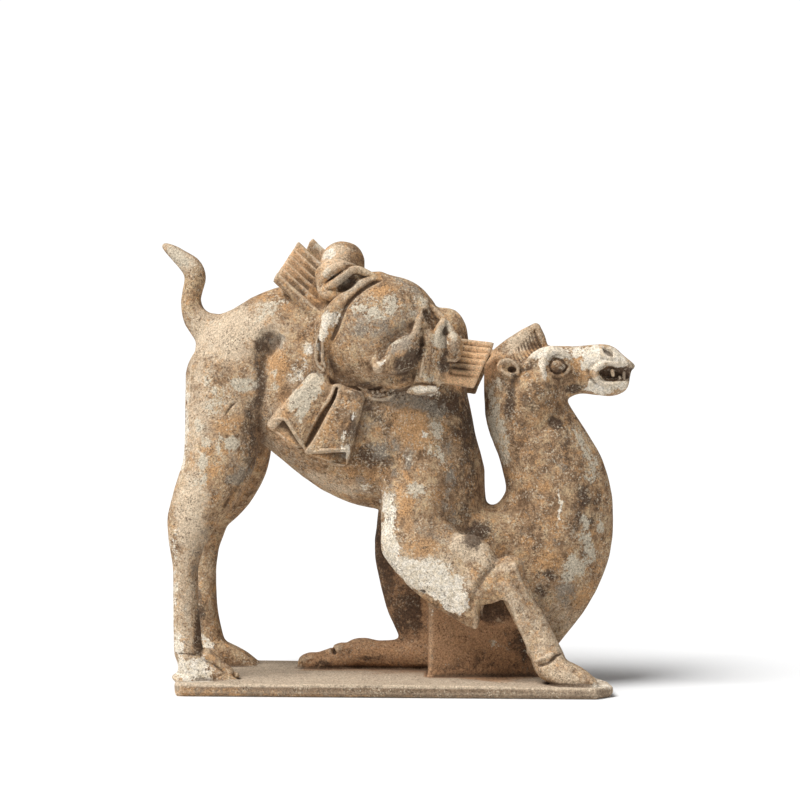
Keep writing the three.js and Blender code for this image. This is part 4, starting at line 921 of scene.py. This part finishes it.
def cover(places, patches):
    """How strongly the patches cover each place."""
    x, z = places[:, 0], places[:, 2]
    total = np.zeros(len(places))
    for x0, z0, rx, rz, tilt, strength in patches:
        cos, sin = math.cos(math.radians(tilt)), math.sin(math.radians(tilt))
        dx, dz = x - x0, z - z0
        reach = np.hypot((dx * cos + dz * sin) / rx, (dz * cos - dx * sin) / rz)
        total = np.maximum(total, strength * (1 - ramp(reach, 0.35, 1.65)))
    return total


def strayed(places):
    """The places pushed about a little, which makes the patches' outlines irregular."""
    stray = np.zeros_like(places)
    for seed, (size, reach) in enumerate([(13, 2.6), (6, 2.0), (3, 1.2)]):
        stray[:, 0] += reach * lattice_noise(places, size, 40 + seed)
        stray[:, 2] += reach * lattice_noise(places, size, 50 + seed)
    return places + stray


def coats(places):
    """The cover of each coat, painted shade among them. The far side repeats the near one, shifted and weaker."""
    x, y, z = places.T
    places = strayed(places)
    near = 1 - ramp(y, -6, 2)
    far = ramp(y, -2, 6)
    shifted_places = places + np.array([9, 0, -7])
    block = (1 - ramp(abs(y), 20, 22)) * ramp(places[:, 0], 19, 23) * (1 - ramp(places[:, 2], 60, 72))
    block = block * (1 - ramp(places[:, 0] - 0.58 * (64 - places[:, 2]), 93, 99))
    # The far side's inner legs and belly, which take red-brown and painted shade.
    inner = ramp(y, 8, 12) * ramp(places[:, 0], -75, -70) * (1 - ramp(places[:, 0], 26, 50)) \
        * (1 - ramp(places[:, 2], 105, 160))
    coat = {}
    for name, patches in PATCHES.items():
        coat[name] = (near * (1 - block) * cover(places, patches)
                      + far * 0.75 * cover(shifted_places, patches) * (1 - inner))
    coat["slip"] *= 1 - 0.9 * cover(places, BARE)
    coat["grey"] = np.maximum(coat["grey"], 0.8 * block * cover(places, BLOCK["grey"]) * (y < 0))
    # Painted shade on the support block.
    coat["soot_and_shade"] = np.maximum(coat["soot_and_shade"], block * cover(places, BLOCK["soot_and_shade"]))
    # Painted shade inside the far side.
    coat["soot_and_shade"] = np.maximum(coat["soot_and_shade"], inner * cover(places, INNER_SHADE))
    # Painted shade inside the open mouth.
    mouth = ramp(x, 142, 144) * (1 - ramp(abs(y), 7.2, 8)) * ramp(z, 218.4, 219.6) * (1 - ramp(z, 228.6, 229.6))
    coat["soot_and_shade"] = np.maximum(coat["soot_and_shade"], 1.5 * mouth)
    coat["slip"] *= 1 - mouth
    coat["red"] = np.maximum(block, 0.6 * inner)
    coat["clean"] = cover(places, CLEAN)
    coat["slab"] = 1 - ramp(z, 9.6, 10.6)
    # Painted shade: the slab's sides take a much darker brown than its top.
    coat["edge"] = 1 - ramp(z, 6.4, 7.6)
    return coat


def note(mesh, name, values):
    mesh.attributes.new(name, "FLOAT", "POINT").data.foreach_set("value", values.astype(np.float32))


def dress(piece):
    """Notes on the mesh that its material reads: the coats, and how the skin bends, from which it paints shade into
    hollows and light onto ridges.
    """
    mesh = piece.data
    places = vertex_places(mesh)
    for name, values in coats(places).items():
        note(mesh, name, values)
    plain = 1 - 0.6 * np.minimum(cover(places, PATCHES["bisque_and_painted_light"]), 1)
    note(mesh, "bend", sampled(blurred(field, 1.5), places) * plain)
    note(mesh, "sweep", sampled(blurred(field, 4.0), places))


# The earthenware

class Nodes:
    """Short words for the nodes of one material."""

    def __init__(self, tree):
        self.tree = tree
        coordinates = tree.nodes.new("ShaderNodeTexCoord")
        self.place = coordinates.outputs["Object"]

    def put(self, socket, value):
        if isinstance(value, bpy.types.NodeSocket):
            self.tree.links.new(value, socket)
        else:
            socket.default_value = value

    def math(self, kind, *values, clamp=False):
        node = self.tree.nodes.new("ShaderNodeMath")
        node.operation = kind
        node.use_clamp = clamp
        for socket, value in zip(node.inputs, values):
            self.put(socket, value)
        return node.outputs[0]

    def total(self, *terms):
        """The sum of terms, each a value and its weight."""
        result = 0.0
        for value, weight in terms:
            node = self.tree.nodes.new("ShaderNodeMath")
            node.operation = "MULTIPLY_ADD"
            self.put(node.inputs[0], value)
            node.inputs[1].default_value = weight
            self.put(node.inputs[2], result)
            result = node.outputs[0]
        return result

    def step(self, value, low, high, top=1.0):
        node = self.tree.nodes.new("ShaderNodeMapRange")
        node.interpolation_type = "SMOOTHSTEP"
        self.put(node.inputs["Value"], value)
        node.inputs["From Min"].default_value = low
        node.inputs["From Max"].default_value = high
        node.inputs["To Max"].default_value = top
        return node.outputs["Result"]

    def shifted(self, seed):
        node = self.tree.nodes.new("ShaderNodeVectorMath")
        node.operation = "ADD"
        self.put(node.inputs[0], self.place)
        node.inputs[1].default_value = (0.37 * seed, 0.61 * seed, 0.23 * seed)
        return node.outputs[0]

    def noise(self, size, seed, detail=3.0, rough=0.65):
        """Cloudy values from 0 to 1 whose features are about that many millimetres across."""
        node = self.tree.nodes.new("ShaderNodeTexNoise")
        self.put(node.inputs["Vector"], self.shifted(seed))
        node.inputs["Scale"].default_value = 1 / (size * MM)
        node.inputs["Detail"].default_value = detail
        node.inputs["Roughness"].default_value = rough
        return self.step(node.outputs["Fac"], 0.28, 0.72)

    def note(self, name):
        node = self.tree.nodes.new("ShaderNodeAttribute")
        node.attribute_name = name
        return node.outputs["Fac"]

    def mix(self, share, a, b, kind="MIX"):
        node = self.tree.nodes.new("ShaderNodeMix")
        node.data_type = "RGBA"
        node.blend_type = kind
        self.put(node.inputs[0], share)
        for socket, value in ((node.inputs[6], a), (node.inputs[7], b)):
            self.put(socket, value if isinstance(value, bpy.types.NodeSocket) else (*value, 1))
        return node.outputs[2]

    def grey(self, value):
        node = self.tree.nodes.new("ShaderNodeCombineColor")
        for socket in node.inputs:
            self.put(socket, value)
        return node.outputs[0]


COLOURS = {
    "brown": (0.165, 0.096, 0.051), "ochre": (0.335, 0.212, 0.119), "tan": (0.505, 0.362, 0.215),
    "buff": (0.625, 0.50, 0.36), "iron": (0.50, 0.28, 0.125), 
    "soot_and_shade": (0.060, 0.036, 0.024), "ash": (0.275, 0.235, 0.185), "slip": (0.82, 0.755, 0.65),
    "bisque_and_painted_light": (0.72, 0.455, 0.255), "chalk": (0.66, 0.565, 0.425), "grey": (0.575, 0.505, 0.39), "slab": (0.46, 0.37, 0.275),
    "edge": (0.205, 0.135, 0.082), "red": (0.42, 0.24, 0.13), "dirt_and_crease_shade": (0.075, 0.044, 0.026),
}


def earthenware():
    material = bpy.data.materials.new("earthenware")
    material.use_nodes = True
    nodes = Nodes(material.node_tree)
    shader = material.node_tree.nodes["Principled BSDF"]
    cloud, mottle = nodes.noise(9, 2), nodes.noise(3.4, 3)
    grain, fine = nodes.noise(1.5, 4), nodes.noise(0.8, 5, 1)
    ragged = nodes.total((nodes.noise(8, 6), 0.40), (nodes.noise(3.2, 7), 0.32), (nodes.noise(1.3, 8), 0.28))

    def coat(name, spread, soft, top=1.0):
        """Where a coat covers the clay. The spread tells how ragged it is, and soft how blurred."""
        value = nodes.total((nodes.note(name), 1.0), (ragged, spread), (1.0, -0.5 * spread))
        return nodes.step(value, 0.5 - soft, 0.5 + soft, top)

    def scattered(size, seed, share, soft=0.08, top=1.0):
        """Flecks that cover about that share of the clay."""
        return nodes.step(nodes.noise(size, seed), 1 - share - soft, 1 - share + soft, top)

    bend, sweep = nodes.note("bend"), nodes.note("sweep")
    tone = nodes.total((nodes.noise(26, 1), 0.30), (cloud, 0.36), (mottle, 0.34))
    colour = nodes.mix(nodes.step(tone, 0.18, 0.52), COLOURS["brown"], COLOURS["ochre"])
    colour = nodes.mix(nodes.step(tone, 0.45, 0.80), colour, COLOURS["tan"])
    colour = nodes.mix(scattered(6.5, 9, 0.24, 0.15, 0.7), colour, COLOURS["iron"])
    colour = nodes.mix(coat("pale", 0.9, 0.35, 0.85), colour, COLOURS["buff"])
    colour = nodes.mix(coat("slab", 0.05, 0.2, 0.9), colour, COLOURS["slab"])
    # Painted shade: the slab's sides darker than its top.
    colour = nodes.mix(coat("edge", 0.05, 0.3, 0.85), colour, COLOURS["edge"])
    colour = nodes.mix(coat("red", 0.3, 0.2, 0.9), colour, COLOURS["red"])
    colour = nodes.mix(coat("iron", 1.2, 0.30, 0.8), colour, COLOURS["iron"])
    # Dark brown patches, partly stains and partly painted shade and shadow.
    colour = nodes.mix(coat("soot_and_shade", 1.2, 0.40, 0.9), colour, COLOURS["soot_and_shade"])
    colour = nodes.mix(coat("ash", 1.2, 0.30, 0.8), colour, COLOURS["ash"])
    # Painted shade: broad hollows darkened towards brown.
    colour = nodes.mix(nodes.step(sweep, -0.2, -1.6, 0.6), colour, COLOURS["brown"])
    # Pale orange clay, with painted light on the front board.
    colour = nodes.mix(coat("bisque_and_painted_light", 0.6, 0.35, 0.85), colour, COLOURS["bisque_and_painted_light"])
    plain = nodes.total((nodes.note("red"), -0.9), (nodes.note("bisque_and_painted_light"), -0.7), (1.0, 1.0))
    patchy = nodes.step(nodes.noise(11, 13), 0.30, 0.75)
    flecks = nodes.math("MULTIPLY", scattered(1.6, 10, 0.28, 0.14, 0.55), nodes.math("MULTIPLY", plain, patchy), clamp=True)
    colour = nodes.mix(flecks, colour, COLOURS["chalk"])
    colour = nodes.mix(coat("grey", 1.3, 0.16, 0.85), colour, COLOURS["grey"])
    slip = coat("slip", 1.1, 0.12, 0.95)
    white = nodes.mix(nodes.noise(4, 11), COLOURS["slip"], COLOURS["chalk"])
    colour = nodes.mix(slip, colour, white)
    sparse = nodes.total((nodes.step(nodes.noise(9, 14), 0.35, 0.75), 0.7), (nodes.note("clean"), -0.9),
                         (nodes.note("bisque_and_painted_light"), -0.5), (1.0, 0.4))
    pits = nodes.math("MULTIPLY", scattered(1.3, 12, 0.22, 0.12, 0.65), sparse, clamp=True)
    colour = nodes.mix(pits, colour, COLOURS["dirt_and_crease_shade"])
    # Painted shade: creases darkened towards dark brown.
    colour = nodes.mix(nodes.step(bend, -0.05, -0.45, 0.75), colour, COLOURS["dirt_and_crease_shade"])
    # Painted highlight: ridges lightened towards buff.
    colour = nodes.mix(nodes.step(bend, 0.1, 0.5, 0.45), colour, COLOURS["buff"])
    shade = nodes.total((grain, 0.55), (fine, 0.45), (1.0, 0.52))
    colour = nodes.mix(1.0, colour, nodes.grey(shade), "MULTIPLY")
    nodes.put(shader.inputs["Base Color"], colour)
    shader.inputs["Roughness"].default_value = 0.9
    shader.inputs["Specular IOR Level"].default_value = 0.25
    bump = material.node_tree.nodes.new("ShaderNodeBump")
    bump.inputs["Strength"].default_value = 0.8
    bump.inputs["Distance"].default_value = MM
    height = nodes.total((mottle, 0.3), (grain, 0.3), (slip, 0.14), (pits, -0.3), (fine, 0.12))
    nodes.put(bump.inputs["Height"], height)
    nodes.put(shader.inputs["Normal"], bump.outputs["Normal"])
    return material


# Floor, light and camera

def stage():
    mesh = bpy.data.meshes.new("floor")
    reach = 12
    mesh.from_pydata([(-reach, -reach, 0), (reach, -reach, 0), (reach, reach, 0), (-reach, reach, 0)],
                     [], [(0, 1, 2, 3)])
    floor = bpy.data.objects.new("floor", mesh)
    bpy.context.scene.collection.objects.link(floor)
    paint = bpy.data.materials.new("floor")
    paint.use_nodes = True
    shader = paint.node_tree.nodes["Principled BSDF"]
    shader.inputs["Base Color"].default_value = (0.8, 0.8, 0.8, 1)
    shader.inputs["Roughness"].default_value = 0.95
    shader.inputs["Specular IOR Level"].default_value = 0.1
    mesh.materials.append(paint)


def lights():
    sun = bpy.data.objects.new("key", bpy.data.lights.new("key", "SUN"))
    sun.data.energy = 4.2
    sun.data.angle = math.radians(34)
    way = Vector((0.5, 0.42, -1))
    sun.rotation_euler = way.to_track_quat("-Z", "Y").to_euler()
    bpy.context.scene.collection.objects.link(sun)
    world = bpy.data.worlds.new("studio")
    world.use_nodes = True
    nodes = Nodes(world.node_tree)
    background = world.node_tree.nodes["Background"]
    background.inputs["Color"].default_value = (1, 1, 1, 1)
    seen = world.node_tree.nodes.new("ShaderNodeLightPath").outputs["Is Camera Ray"]
    nodes.put(background.inputs["Strength"], nodes.total((seen, 0.8), (1.0, 0.25)))
    bpy.context.scene.world = world
    bpy.context.scene.view_settings.view_transform = "Standard"


def camera():
    eye = bpy.data.objects.new("camera", bpy.data.cameras.new("camera"))
    bpy.context.scene.collection.objects.link(eye)
    eye.data.sensor_width = 36
    eye.data.lens = 91.67
    eye.data.clip_end = 30
    eye.location = (0.0768 + 0.00135, -1.465, 0.2054)
    eye.rotation_euler = (math.radians(90), 0, math.radians(3))
    bpy.context.scene.camera = eye


field, ORIGIN = distance_field(*packed_mesh())
fine = blurred(field, 0.9)
broad = blurred(field, 2.2)
_, (_, _, heights) = window((-200, -80, -20), (200, 80, 340))
share = ramp(heights, 9.0, 15.0).astype(np.float32)
field = fine + (broad - fine) * share
del fine, broad
carving()

camel = skin_mesh("camel")
thin_out(camel, TRIANGLES)
dress(camel)
roughen(camel.data)
camel.data.materials.append(earthenware())
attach(camel, "root")
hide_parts(NODE)

stage()
lights()
camera()
